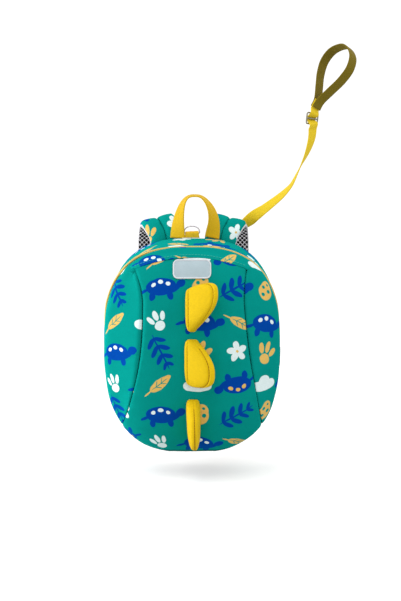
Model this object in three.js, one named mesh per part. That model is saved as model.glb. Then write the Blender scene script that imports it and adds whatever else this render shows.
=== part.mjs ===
// A small child's egg-shaped backpack: a domed neoprene front with a crest of three stuffed spikes,
// a zipped side wall, padded shoulder straps, a webbing handle and a safety rein with a hand loop.
// Millimetres. +Z is up, the front of the bag faces -Y, and y = 0 is the face that lies on the wearer's back.

import * as THREE from 'three';

// Egg outline of the bag, seen from the front. Its top slopes down from the back panel to the domed front.
// A roundness of 2 is an ellipse, and more is squarer.
const EGG = {
  halfWidth: 104.3, top: 125, frontTop: 117.3, roundTop: 2.75, frontRoundTop: 2.66,
  base: 128.5, roundBase: 2.65, baseLevel: -127,
};

// Depths from the wearer's back towards the front, and cloth thicknesses.
const BACK_PANEL = { thick: 6, edgeRound: 1.6 };
const SIDE_DEPTH = 62;
const DOME = { depth: 46, fullness: 2.6, fullerBelow: 0.4 };
const CLOTH = 3;
const GAP = 0.3;

// Piping cord in the seam between the side wall and the domed front.
const PIPING = { radius: 1.5, proud: 1 };

// Seams that bound the front panel. The side seams are narrowest at the waist and flare from there, not quite
// alike on the two sides. Out is the distance from the bag's middle.
const SIDE_SEAMS = {
  left: { topOut: 69.4, waistUp: 50, waistOut: 57.7, curveBelow: 2.25 },
  right: { topOut: 65, waistUp: 56, waistOut: 61.2, curveBelow: 1.4 },
};
const SIDE_SEAM = { lowOut: 83.9, lowest: -93.5, curveAbove: 2 };
const TOP_SEAM = { up: 107, sag: 14 };

// The rim panel starts above the foot of the side seams, and each of them takes a share of its length.
// Between its seam and the piping it is pulled flatter than the dome.
const RIM = { startAbove: 8, sideShare: 0.36, flat: 0.65, seamTurn: 8, edgeTurn: 4 };

// Zip in the side wall, from one side over the top to the other.
const ZIP = { middle: 50, width: 9.4, startAngle: -16, sink: 1.7, ridge: 1.2, ridgeHalf: 2.6, wall: 1.6 };
const ZIP_PULL = { from: -14, to: -2, width: 6, thick: 1.5 };

// Webbing handle on the top seam, turned from flat at its feet nearly to edge-on at its top. Its right leg
// bows out.
const HANDLE = {
  x: 3.4, y: -3, halfSpan: 21.1, rise: 51.6, archRound: 0.68, bow: 5.5,
  width: 19, thick: 2, footTurn: 20, topTurn: 84,
};

// Folded tab in the top seam, and the wire ring whose bar turns in the fold.
const RING_TAB = { y: -2, width: 16.4, foldRadius: 2.6, legThick: 3, height: 8.2, bore: 1.2 };
const RING = { wire: 0.8, sides: 6, halfWidth: 9.4, height: 8.6, corner: 1.6, shoulder: 0.72, crown: 0.56 };

// Soft plaque at the top of the front panel, sized as it is seen from the front.
const BADGE = {
  up: 92.5, halfWidth: 22, halfHeight: 10.7, corner: 6, innerCorner: 2, rim: 2.2, rimCrest: 0.8,
  floor: 0.9, rimRaise: 0.9, floorRings: [0.3, 0.7],
};

// Stuffed fins on the middle of the front. Sweep carries the tip up or down, and lean to the right. Taper is
// the foot's share of the full thickness, and slant carries the foot to the right.
const SPIKES = [
  { at: 'top', from: 71, to: 22, height: 37, lean: 50, sweep: 18.5, thick: 15, taper: 1, slant: 0 },
  { at: 'middle', from: 14, to: -40, height: 34, lean: 46, sweep: -11, thick: 17, taper: 1, slant: 0 },
  { at: 'bottom', from: -56, to: -112, height: 33, lean: 5, sweep: -2, thick: 18, taper: 0.78, slant: 1.8 },
];
const SPIKE = { edge: 0.7, fullness: 2.7, endRise: 0.06, bulge: 1.8 };
// The two ends of a fin in outline: the share of the thickness left at the very end, and how square it is.
const SPIKE_END = { upper: { thick: 0.4, square: 6 }, lower: { thick: 0.15, square: 3 } };
const SPIKE_LEVELS = [0, 0.3, 0.6, 0.85, 1];

// Padded shoulder strap, from its root on the back panel over the crest and down to its webbing.
// Out is the distance from the bag's middle, and puff is the height of the two stuffed lobes. The right strap
// is sewn on a little further out.
const STRAP = [
  { out: 30, back: 6.0, up: 100, width: 37, puff: 4.0 },
  { out: 30.8, back: 6.4, up: 114, width: 38, puff: 4.4 },
  { out: 33.8, back: 9.5, up: 130.5, width: 39.5, puff: 5 },
  { out: 38.8, back: 18, up: 140.2, width: 41, puff: 5.2 },
  { out: 43, back: 30, up: 144.2, width: 42, puff: 5.2 },
  { out: 45.5, back: 43, up: 140.2, width: 42, puff: 5.2 },
  { out: 47, back: 54, up: 128.2, width: 42, puff: 5.2 },
  { out: 48, back: 62, up: 104, width: 42, puff: 5.2 },
  { out: 48.5, back: 67, up: 64, width: 42, puff: 5.2 },
  { out: 49.5, back: 68, up: 20, width: 41, puff: 5.2 },
  { out: 53, back: 64, up: -24, width: 38, puff: 5 },
  { out: 58, back: 54, up: -60, width: 30, puff: 4 },
];
const STRAP_SHIFT = { left: 0, right: 3.6 };
const STRAP_SECTION = {
  edge: 1.2, underside: 0.35, roll: 14, lobeRound: 0.18,
  lobes: [-1, -0.92, -0.75, -0.5, -0.25, -0.08, 0, 0.08, 0.25, 0.5, 0.75, 0.92, 1],
};

// Flat webbing from the foot of each strap to a lower corner of the back panel.
const WEBBING = { width: 18, thick: 2, straight: 7 };
const WEBBING_ROUTE = [
  { out: 60.5, back: 43, up: -81 },
  { out: 61, back: 30, up: -90 },
  { out: 61, back: 16, up: -95.5 },
  { out: 60, back: 6, up: -99.5 },
  { out: 59, back: 1.6, up: -106 },
];

// Safety rein: flat webbing off the outer face of the right strap. Turn is its twist from edge-on. It turns
// over once as it leaves the strap and once more halfway up.
const REIN = { width: 15, thick: 1.5 };
const REIN_ROUTE = [
  { x: 54.1, y: 55.2, z: 137.6, turn: -48 },
  { x: 60.6, y: 55.1, z: 138.2, turn: -48 },
  { x: 66.6, y: 53.6, z: 140.3, turn: -52 },
  { x: 72.6, y: 51.2, z: 144.8, turn: -75 },
  { x: 80, y: 48, z: 151.3, turn: -110 },
  { x: 90.6, y: 45, z: 158.9, turn: -134 },
  { x: 101, y: 42, z: 167, turn: -143 },
  { x: 112.4, y: 39, z: 176.4, turn: -152 },
  { x: 120, y: 37, z: 183.9, turn: -162 },
  { x: 125.4, y: 35.5, z: 190.5, turn: -170 },
  { x: 131.4, y: 33.5, z: 202.5, turn: -178 },
  { x: 137.7, y: 31, z: 216.3, turn: -188 },
  { x: 143, y: 29.5, z: 227.5, turn: -200 },
  { x: 147, y: 28, z: 238.5, turn: -212 },
  { x: 149.8, y: 27, z: 250, turn: -222 },
  { x: 150.3, y: 26, z: 260, turn: -227 },
  { x: 149.5, y: 25, z: 270.5, turn: -228 },
  { x: 151.6, y: 25, z: 281, turn: -228 },
  { x: 158, y: 25, z: 294, turn: -228 },
];

// Sliding buckle on the rein: a flat frame with a bar across the middle, which the webbing passes over.
const SLIDER = {
  fromEnd: 24, halfLength: 11, corner: 2, outerBar: 1.8, slot: 4.6, halfBar: 1.2, thick: 2, endBar: 1.9,
  lift: 2.6,
};

// Hand loop, whose two ends are sewn to the end of the rein. Up runs on from it, and side is half the loop.
const LOOP_NECK = 10;
const LOOP = [
  { up: 0, side: 1.9 },
  { up: 9, side: 2.1 },
  { up: 25, side: 10 },
  { up: 43, side: 19 },
  { up: 60, side: 22.5 },
  { up: 75, side: 17 },
];
const LOOP_TOP = 84;

// Fineness of the facets.
const STEPS = {
  front: [14, 20], rim: [50, 4], upperWall: 38, baseWall: 20, outline: 72, piping: 66, strap: 26, webbing: 12,
  handle: 28, ring: 36, spike: 12, badge: 30, rein: 22, loop: 30, slider: 1.1, pull: 4,
};

const COLOURS = {
  neoprene: { color: 0x12968a, roughness: 0.72, metalness: 0 },
  piping: { color: 0xe6bb6c, roughness: 0.7, metalness: 0 },
  zip: { color: 0x1f8f80, roughness: 0.5, metalness: 0 },
  mesh: { color: 0x8f9094, roughness: 0.9, metalness: 0 },
  spike: { color: 0xf2cc2c, roughness: 0.8, metalness: 0 },
  webbing: { color: 0xe2b428, roughness: 0.75, metalness: 0 },
  badge: { color: 0xb9c6c8, roughness: 0.35, metalness: 0 },
  metal: { color: 0xc4c2c0, roughness: 0.25, metalness: 1 },
};
const MATERIALS = {};
for (const [name, look] of Object.entries(COLOURS)) MATERIALS[name] = new THREE.MeshStandardMaterial(look);

const ACROSS = new THREE.Vector3(1, 0, 0);
const BACKWARD = new THREE.Vector3(0, 1, 0);
const UPWARD = new THREE.Vector3(0, 0, 1);
const radians = THREE.MathUtils.degToRad;
const mix = THREE.MathUtils.lerp;

const bag = new THREE.Group();

function addPiece(name, geometry, material) {
  const mesh = new THREE.Mesh(geometry, MATERIALS[material]);
  mesh.name = name;
  bag.add(mesh);
  return mesh;
}

// A closed solid from points and triangles, turned so that its faces point out.
function solid(points, triangles) {
  let volume = 0;
  for (const [a, b, c] of triangles) {
    volume += points[a].dot(new THREE.Vector3().crossVectors(points[b], points[c]));
  }
  const faces = volume < 0 ? triangles.map(([a, b, c]) => [a, c, b]) : triangles;
  const geometry = new THREE.BufferGeometry().setFromPoints(points);
  geometry.setIndex(faces.flat());
  geometry.computeVertexNormals();
  return geometry;
}

// A solid skinned over rings of points. Its ends are capped, unless the rings close on themselves.
function loft(rings, closed = false) {
  const size = rings[0].length;
  const points = rings.flat();
  const triangles = [];
  const spans = closed ? rings.length : rings.length - 1;
  for (let row = 0; row < spans; row++) {
    const low = row * size;
    const high = ((row + 1) % rings.length) * size;
    for (let k = 0; k < size; k++) {
      const next = (k + 1) % size;
      triangles.push([low + k, low + next, high + next], [low + k, high + next, high + k]);
    }
  }
  if (!closed) {
    for (const [row, flip] of [[0, true], [rings.length - 1, false]]) {
      const middle = points.length;
      const sum = rings[row].reduce((total, point) => total.add(point), new THREE.Vector3());
      points.push(sum.divideScalar(size));
      for (let k = 0; k < size; k++) {
        const a = row * size + k;
        const b = row * size + ((k + 1) % size);
        triangles.push(flip ? [b, a, middle] : [a, b, middle]);
      }
    }
  }
  return solid(points, triangles);
}

// A cloth panel: a surface over the unit square, and the same surface one wall thickness behind it.
function panel(surface, [columns, rows], wall) {
  const step = 1e-3;
  const outer = [];
  const inner = [];
  for (let i = 0; i <= columns; i++) {
    for (let j = 0; j <= rows; j++) {
      const u = THREE.MathUtils.clamp(i / columns, step, 1 - step);
      const v = THREE.MathUtils.clamp(j / rows, step, 1 - step);
      const alongU = surface(u + step, v).sub(surface(u - step, v));
      const alongV = surface(u, v + step).sub(surface(u, v - step));
      const inward = alongU.cross(alongV).normalize();
      if (inward.y < 0) inward.negate();
      const point = surface(i / columns, j / rows);
      outer.push(point);
      inner.push(point.clone().addScaledVector(inward, wall));
    }
  }
  const at = (i, j) => i * (rows + 1) + j;
  const behind = outer.length;
  const triangles = [];
  const quad = (a, b, c, d) => triangles.push([a, b, c], [a, c, d]);
  for (let i = 0; i < columns; i++) {
    for (let j = 0; j < rows; j++) {
      const corners = [at(i, j), at(i + 1, j), at(i + 1, j + 1), at(i, j + 1)];
      quad(...corners);
      quad(...corners.map((k) => k + behind).reverse());
    }
  }
  for (let i = 0; i < columns; i++) {
    quad(at(i + 1, 0), at(i, 0), at(i, 0) + behind, at(i + 1, 0) + behind);
    quad(at(i, rows), at(i + 1, rows), at(i + 1, rows) + behind, at(i, rows) + behind);
  }
  for (let j = 0; j < rows; j++) {
    quad(at(0, j), at(0, j + 1), at(0, j + 1) + behind, at(0, j) + behind);
    quad(at(columns, j + 1), at(columns, j), at(columns, j) + behind, at(columns, j + 1) + behind);
  }
  return solid([...outer, ...inner], triangles);
}

// The egg outline and its flat base, at an angle from +X, with an outset, at a depth from the wearer's back.
function outline(angle, outset = 0, depth = SIDE_DEPTH) {
  const c = Math.cos(angle);
  const s = Math.sin(angle);
  const share = depth / SIDE_DEPTH;
  const round = s > 0 ? mix(EGG.roundTop, EGG.frontRoundTop, share) : EGG.roundBase;
  const height = s > 0 ? mix(EGG.top, EGG.frontTop, share) : EGG.base;
  const sum = Math.abs(c / EGG.halfWidth) ** round + Math.abs(s / height) ** round;
  const reach = sum ** (-1 / round) + outset;
  return new THREE.Vector2(reach * c, Math.max(reach * s, EGG.baseLevel - outset));
}

// The domed front over the unit disc, whose middle is the foremost point and whose rim is the piped seam.
const DOME_RIM = SIDE_DEPTH + PIPING.radius + GAP;

function domeFullness(angle) {
  return DOME.fullness - DOME.fullerBelow * Math.sin(angle);
}

function domePoint(disc) {
  const angle = Math.atan2(disc.y, disc.x);
  const slope = Math.min(disc.length(), 1) * Math.PI / 2;
  const share = Math.sin(slope) ** (2 / domeFullness(angle));
  const edge = outline(angle);
  return new THREE.Vector3(edge.x * share, -DOME_RIM - DOME.depth * Math.cos(slope), edge.y * share);
}

function discAt(x, z) {
  const angle = Math.atan2(z, x);
  const share = Math.min(Math.hypot(x, z) / outline(angle).length(), 1);
  const reach = Math.asin(share ** (domeFullness(angle) / 2)) / (Math.PI / 2);
  return new THREE.Vector2(reach * Math.cos(angle), reach * Math.sin(angle));
}

// A point of the domed front seen at (x, z), raised off its surface, and the outward normal there.
function onFront(x, z, raise = 0) {
  const near = 0.5;
  const point = domePoint(discAt(x, z));
  const alongX = domePoint(discAt(x + near, z)).sub(domePoint(discAt(x - near, z)));
  const alongZ = domePoint(discAt(x, z + near)).sub(domePoint(discAt(x, z - near)));
  const normal = alongX.cross(alongZ).normalize();
  return { point: point.addScaledVector(normal, raise), normal };
}

const sideSeam = (z, sign) => {
  const { topOut, waistUp, waistOut, curveBelow } = sign < 0 ? SIDE_SEAMS.left : SIDE_SEAMS.right;
  const above = z > waistUp;
  const share = (z - waistUp) / ((above ? SEAM_CORNER : SIDE_SEAM.lowest) - waistUp);
  return above
    ? mix(waistOut, topOut, share ** SIDE_SEAM.curveAbove)
    : mix(waistOut, SIDE_SEAM.lowOut, share ** curveBelow);
};
const topSeam = (x) => TOP_SEAM.up - TOP_SEAM.sag * (x / sideSeam(SEAM_CORNER, x)) ** 2;
const SEAM_CORNER = TOP_SEAM.up - TOP_SEAM.sag;

// Front panel: bounded by the two side seams, the top seam and the rim at the base.
{
  const lowAngle = Math.atan2(SIDE_SEAM.lowest, SIDE_SEAM.lowOut);
  const base = (u) => {
    const angle = mix(-Math.PI - lowAngle, lowAngle, u);
    return new THREE.Vector2(Math.cos(angle), Math.sin(angle));
  };
  const side = (v, sign) => {
    if (v <= 0) return base(sign < 0 ? 0 : 1);
    const z = mix(SIDE_SEAM.lowest, SEAM_CORNER - GAP, v);
    return discAt(sign * (sideSeam(z, sign) - GAP), z);
  };
  const top = (u) => {
    const x = mix(GAP - sideSeam(SEAM_CORNER, -1), sideSeam(SEAM_CORNER, 1) - GAP, u);
    return discAt(x, topSeam(x) - GAP);
  };
  const corner = (u, v) => side(v, u < 0.5 ? -1 : 1);
  const surface = (u, v) => {
    const disc = base(u).multiplyScalar(1 - v).addScaledVector(top(u), v);
    disc.addScaledVector(side(v, -1), 1 - u).addScaledVector(side(v, 1), u);
    for (const [cu, cv] of [[0, 0], [1, 0], [0, 1], [1, 1]]) {
      const weight = (cu ? u : 1 - u) * (cv ? v : 1 - v);
      disc.addScaledVector(cv ? top(cu) : corner(cu, cv), -weight);
    }
    return domePoint(disc);
  };
  addPiece('front_panel', panel(surface, STEPS.front, CLOTH), 'neoprene');
}

// Rim panel: the horseshoe from the side and top seams out to the piping.
{
  const lowest = SIDE_SEAM.lowest + RIM.startAbove;
  const { sideShare, flat, seamTurn, edgeTurn } = RIM;
  const seam = (u) => {
    if (u < sideShare || u > 1 - sideShare) {
      const sign = u < 0.5 ? -1 : 1;
      const z = mix(lowest, SEAM_CORNER + GAP, Math.min(u, 1 - u) / sideShare);
      return [sign * (sideSeam(z, sign) + GAP), z];
    }
    const along = (u - sideShare) / (1 - 2 * sideShare);
    const x = mix(-GAP - sideSeam(SEAM_CORNER, -1), sideSeam(SEAM_CORNER, 1) + GAP, along);
    return [x, topSeam(x) + GAP];
  };
  const out = (point) => Math.hypot(point.x, point.z);
  const surface = (u, v) => {
    const disc = discAt(...seam(u));
    const inner = domePoint(disc);
    const point = domePoint(disc.setLength(mix(disc.length(), 1, v)));
    const outer = domePoint(disc.setLength(1));
    const share = (out(point) - out(inner)) / (out(outer) - out(inner));
    const pull = flat * (1 - (1 - share) ** seamTurn) * (1 - share ** edgeTurn);
    point.y = mix(point.y, mix(inner.y, outer.y, share), pull);
    return point;
  };
  addPiece('rim_panel', panel(surface, STEPS.rim, CLOTH), 'neoprene');
}

// Piping: a round cord in the seam, a little proud of the outline.
{
  const sides = 6;
  const rings = [];
  for (let i = 0; i < STEPS.piping; i++) {
    const angle = (i / STEPS.piping) * 2 * Math.PI;
    const ring = [];
    for (let k = 0; k < sides; k++) {
      const round = (k / sides) * 2 * Math.PI;
      const edge = outline(angle, PIPING.proud - PIPING.radius + PIPING.radius * Math.cos(round));
      ring.push(new THREE.Vector3(edge.x, -SIDE_DEPTH + PIPING.radius * Math.sin(round), edge.y));
    }
    rings.push(ring);
  }
  addPiece('piping', loft(rings, true), 'piping');
}

// Side wall: strips of cloth round the outline between two depths, and the zip between the upper two.
function wallStrip(name, fromAngle, toAngle, section, steps, material) {
  const rings = [];
  for (let i = 0; i <= steps; i++) {
    const angle = radians(mix(fromAngle, toAngle, i / steps));
    rings.push(section.map(([depth, outset]) => {
      const edge = outline(angle, outset, depth);
      return new THREE.Vector3(edge.x, -depth, edge.y);
    }));
  }
  return addPiece(name, loft(rings), material);
}

{
  const strip = (near, far) => [[near, 0], [far, 0], [far, -CLOTH], [near, -CLOTH]];
  const backEdge = BACK_PANEL.thick + GAP;
  const frontEdge = SIDE_DEPTH - PIPING.radius - GAP;
  const zipBack = ZIP.middle - ZIP.width / 2;
  const zipFront = ZIP.middle + ZIP.width / 2;
  const end = 180 - ZIP.startAngle;
  const seamTurn = GAP / 2;
  wallStrip('gusset_back', ZIP.startAngle, end, strip(backEdge, zipBack - GAP), STEPS.upperWall, 'neoprene');
  wallStrip('gusset_front', ZIP.startAngle, end, strip(zipFront + GAP, frontEdge),
    STEPS.upperWall, 'neoprene');
  wallStrip('gusset_base', end + seamTurn, 360 + ZIP.startAngle - seamTurn, strip(backEdge, frontEdge),
    STEPS.baseWall, 'neoprene');
  const tape = -ZIP.sink;
  const under = tape - ZIP.wall;
  const teeth = [
    [zipBack, tape], [ZIP.middle - ZIP.ridgeHalf, tape], [ZIP.middle, tape + ZIP.ridge],
    [ZIP.middle + ZIP.ridgeHalf, tape], [zipFront, tape], [zipFront, under], [zipBack, under],
  ];
  wallStrip('zip_closure', ZIP.startAngle, end, teeth, STEPS.upperWall, 'zip');

  const low = ZIP.ridge - ZIP.sink + GAP;
  const high = low + ZIP_PULL.thick;
  const pullBack = ZIP.middle - ZIP_PULL.width / 2;
  const pullFront = ZIP.middle + ZIP_PULL.width / 2;
  const tab = [[pullBack, low], [pullFront, low], [pullFront, high], [pullBack, high]];
  wallStrip('zip_pull', ZIP_PULL.from, ZIP_PULL.to, tab, STEPS.pull, 'zip');
}

// Back panel: a flat padded plate with rounded edges.
{
  const { thick, edgeRound } = BACK_PANEL;
  const levels = [[thick, -edgeRound], [thick - edgeRound, 0], [edgeRound, 0], [0, -edgeRound]];
  const rings = levels.map(([depth, outset]) => Array.from({ length: STEPS.outline }, (_, i) => {
    const edge = outline((i / STEPS.outline) * 2 * Math.PI, outset, depth);
    return new THREE.Vector3(edge.x, -depth, edge.y);
  }));
  addPiece('back_panel', loft(rings), 'mesh');
}

// Frames along a route: the middle, the way along, the way across the webbing, and the face.
function framesAlong(points, steps, acrossAt) {
  const curve = new THREE.CatmullRomCurve3(points, false, 'centripetal');
  const shares = Array.isArray(steps) ? steps : Array.from({ length: steps + 1 }, (_, i) => i / steps);
  return shares.map((share) => {
    const middle = curve.getPointAt(share);
    const along = curve.getTangentAt(share).normalize();
    const across = acrossAt(share, along);
    across.addScaledVector(along, -across.dot(along)).normalize();
    return { share, middle, along, across, face: across.clone().cross(along) };
  });
}

// A value from a column of a table, at a share of the length of its route.
function columnAt(points, rows, column) {
  const curve = new THREE.CatmullRomCurve3(points, false, 'centripetal');
  return (share) => {
    const place = curve.getUtoTmapping(share) * (rows.length - 1);
    const row = Math.min(Math.floor(place), rows.length - 2);
    return mix(rows[row][column], rows[row + 1][column], place - row);
  };
}

function ribbon(frames, width, thick) {
  return loft(frames.map(({ middle, across, face }) => {
    const corners = [[-1, -1], [1, -1], [1, 1], [-1, 1]];
    return corners.map(([a, f]) => middle.clone()
      .addScaledVector(across, a * width / 2)
      .addScaledVector(face, f * thick / 2));
  }));
}

// Shoulder straps: two stuffed lobes with a sewn channel between them, and flat webbing below.
for (const [side, sign] of [['left', -1], ['right', 1]]) {
  const place = (row) => new THREE.Vector3(sign * (row.out + STRAP_SHIFT[side]), row.back, row.up);
  const points = STRAP.map(place);
  const widthAt = columnAt(points, STRAP, 'width');
  const puffAt = columnAt(points, STRAP, 'puff');
  const tilt = radians(STRAP_SECTION.roll);
  const across = () => new THREE.Vector3(Math.cos(tilt), 0, -sign * Math.sin(tilt));
  const frames = framesAlong(points, STEPS.strap, across);
  const under = [1, 0.5, 0, -0.5, -1];
  const hump = (a) => Math.abs(Math.sin(Math.PI * a)) ** STRAP_SECTION.lobeRound;
  const rings = frames.map((frame) => {
    const half = widthAt(frame.share) / 2;
    const puff = puffAt(frame.share);
    const at = (a, height) => frame.middle.clone()
      .addScaledVector(frame.across, a * half)
      .addScaledVector(frame.face, height);
    return [
      ...STRAP_SECTION.lobes.map((a) => at(a, STRAP_SECTION.edge + puff * hump(a))),
      ...under.map((a) => at(a, -STRAP_SECTION.edge - STRAP_SECTION.underside * puff * hump(a))),
    ];
  });
  addPiece(`strap_${side}`, loft(rings), 'neoprene');
  const foot = frames.at(-1);
  const leave = [2 * GAP, WEBBING.straight]
    .map((far) => foot.middle.clone().addScaledVector(foot.along, far));
  const route = [...leave, ...WEBBING_ROUTE.map(place)];
  const webbing = framesAlong(route, STEPS.webbing, across);
  addPiece(`strap_webbing_${side}`, ribbon(webbing, WEBBING.width, WEBBING.thick), 'webbing');
}

// Handle: an arch of webbing, turning edge-on towards its top.
{
  const foot = EGG.top + GAP;
  const arch = (arc) => {
    const side = Math.cos(arc);
    const rise = Math.sin(arc);
    const reach = HANDLE.halfSpan * Math.sign(side) * Math.abs(side) ** HANDLE.archRound;
    const bow = side < 0 ? 2 * HANDLE.bow * rise * Math.abs(side) ** 3 : 0;
    return new THREE.Vector3(HANDLE.x - reach + bow, HANDLE.y, foot + HANDLE.rise * rise);
  };
  const step = Math.PI / STEPS.handle;
  const frames = Array.from({ length: STEPS.handle + 1 }, (_, i) => {
    const arc = i * step;
    const along = arch(arc + step / 4).sub(arch(arc - step / 4)).normalize();
    const inward = BACKWARD.clone().cross(along);
    const turn = radians(mix(HANDLE.footTurn, HANDLE.topTurn, Math.sin(arc)));
    const across = inward.multiplyScalar(Math.cos(turn)).addScaledVector(BACKWARD, -Math.sin(turn));
    const middle = arch(arc);
    return { middle, along, across, face: across.clone().cross(along) };
  });
  addPiece('handle', ribbon(frames, HANDLE.width, HANDLE.thick), 'webbing');
}

// Ring tab: webbing folded over the bar of the ring, and the ring itself, standing up.
{
  const foot = EGG.top + GAP;
  const { y, foldRadius, legThick, bore, width, height } = RING_TAB;
  const bar = foot + height - foldRadius;
  const neck = Math.asin(legThick / 2 / foldRadius);
  const shape = new THREE.Shape();
  shape.moveTo(y - legThick / 2, foot);
  shape.lineTo(y + legThick / 2, foot);
  shape.absarc(y, bar, foldRadius, neck - Math.PI / 2, Math.PI * 1.5 - neck, false);
  shape.holes.push(new THREE.Path().absarc(y, bar, bore, 0, 2 * Math.PI, true));
  const tab = new THREE.ExtrudeGeometry(shape, { depth: width, bevelEnabled: false, curveSegments: 10 });
  tab.applyMatrix4(new THREE.Matrix4().makeBasis(BACKWARD, UPWARD, ACROSS));
  addPiece('ring_tab', tab, 'webbing').position.x = -width / 2;

  const { halfWidth, height: top, corner, wire, sides } = RING;
  const shoulder = top * RING.shoulder;
  const crown = halfWidth * RING.crown;
  const bend = new THREE.Path();
  bend.moveTo(corner - halfWidth, 0);
  bend.lineTo(halfWidth - corner, 0);
  bend.quadraticCurveTo(halfWidth, 0, halfWidth, corner);
  bend.bezierCurveTo(halfWidth, shoulder, crown, top, 0, top);
  bend.bezierCurveTo(-crown, top, -halfWidth, shoulder, -halfWidth, corner);
  bend.quadraticCurveTo(-halfWidth, 0, corner - halfWidth, 0);
  const points = bend.getSpacedPoints(STEPS.ring).slice(0, STEPS.ring);
  const rings = points.map((point, i) => {
    const before = points[(i + STEPS.ring - 1) % STEPS.ring];
    const after = points[(i + 1) % STEPS.ring];
    const out = new THREE.Vector3(after.y - before.y, 0, before.x - after.x).normalize();
    return Array.from({ length: sides }, (_, k) => {
      const round = (k / sides) * 2 * Math.PI;
      return new THREE.Vector3(point.x, y, bar + point.y)
        .addScaledVector(out, wire * Math.cos(round))
        .addScaledVector(BACKWARD, wire * Math.sin(round));
    });
  });
  addPiece('d_ring', loft(rings, true), 'metal');
}

// Badge: a rounded plaque with a raised rim, curved to the front panel.
{
  const { up, halfWidth, halfHeight, corner, innerCorner, rim, floor, rimRaise } = BADGE;
  const plate = (inset) => {
    const shape = new THREE.Shape();
    const [w, h, r] = [halfWidth - inset, halfHeight - inset, Math.max(corner - inset, innerCorner)];
    shape.moveTo(w, 0);
    shape.absarc(w - r, h - r, r, 0, Math.PI / 2, false);
    shape.absarc(r - w, h - r, r, Math.PI / 2, Math.PI, false);
    shape.absarc(r - w, r - h, r, Math.PI, Math.PI * 1.5, false);
    shape.absarc(w - r, r - h, r, Math.PI * 1.5, Math.PI * 2, false);
    shape.lineTo(w, 0);
    return shape.getSpacedPoints(STEPS.badge).slice(0, STEPS.badge);
  };
  const seat = 2 * GAP;
  const ringAt = (inset, scale, raise) => plate(inset)
    .map((p) => onFront(p.x * scale, up + p.y * scale, seat + raise).point);
  const crest = floor + rimRaise;
  const floorRings = (raise) => BADGE.floorRings.map((scale) => ringAt(rim, scale, raise));
  addPiece('badge', loft([
    ...floorRings(0), ringAt(0, 1, 0), ringAt(0, 1, floor), ringAt(BADGE.rimCrest, 1, crest),
    ringAt(rim, 1, floor), ...floorRings(floor).reverse(),
  ]), 'badge');
}

// Spikes: each fin is two cloth faces bulged by stuffing, which meet in a seam along the outer edge.
for (const spike of SPIKES) {
  const lean = radians(spike.lean);
  const seat = 2 * GAP;
  const rings = [];
  for (let i = 0; i <= STEPS.spike; i++) {
    const s = i / STEPS.spike;
    const z = mix(spike.from, spike.to, s);
    const rise = mix(1, SPIKE.endRise, Math.abs(2 * s - 1) ** SPIKE.fullness);
    const end = s < 0.5 ? SPIKE_END.upper : SPIKE_END.lower;
    const rounded = Math.sqrt(1 - Math.abs(2 * s - 1) ** end.square);
    const half = spike.thick / 2 * mix(1, spike.taper, s) * mix(end.thick, 1, rounded);
    const x = spike.slant * s;
    const { point: foot, normal } = onFront(x, z, seat);
    const out = normal.clone().multiplyScalar(Math.cos(lean)).addScaledVector(ACROSS, Math.sin(lean));
    const flank = ACROSS.clone().addScaledVector(out, -ACROSS.dot(out)).normalize();
    const sweep = UPWARD.clone().multiplyScalar(spike.sweep * rise);
    const flankPoint = (share, sign) => {
      if (share === 0) return onFront(x + sign * half, z, seat).point;
      const bulge = half * Math.sqrt(1 - share ** SPIKE.bulge) + SPIKE.edge;
      const point = foot.clone()
        .addScaledVector(out, spike.height * rise * share)
        .addScaledVector(sweep, share)
        .addScaledVector(flank, sign * bulge);
      point.y = Math.min(point.y, onFront(point.x, point.z, seat * (1 + share)).point.y);
      return point;
    };
    rings.push([
      ...SPIKE_LEVELS.map((share) => flankPoint(share, -1)),
      ...SPIKE_LEVELS.map((share) => flankPoint(share, 1)).reverse(),
      foot.clone(),
    ]);
  }
  addPiece(`spike_${spike.at}`, loft(rings), 'spike');
}

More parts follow.
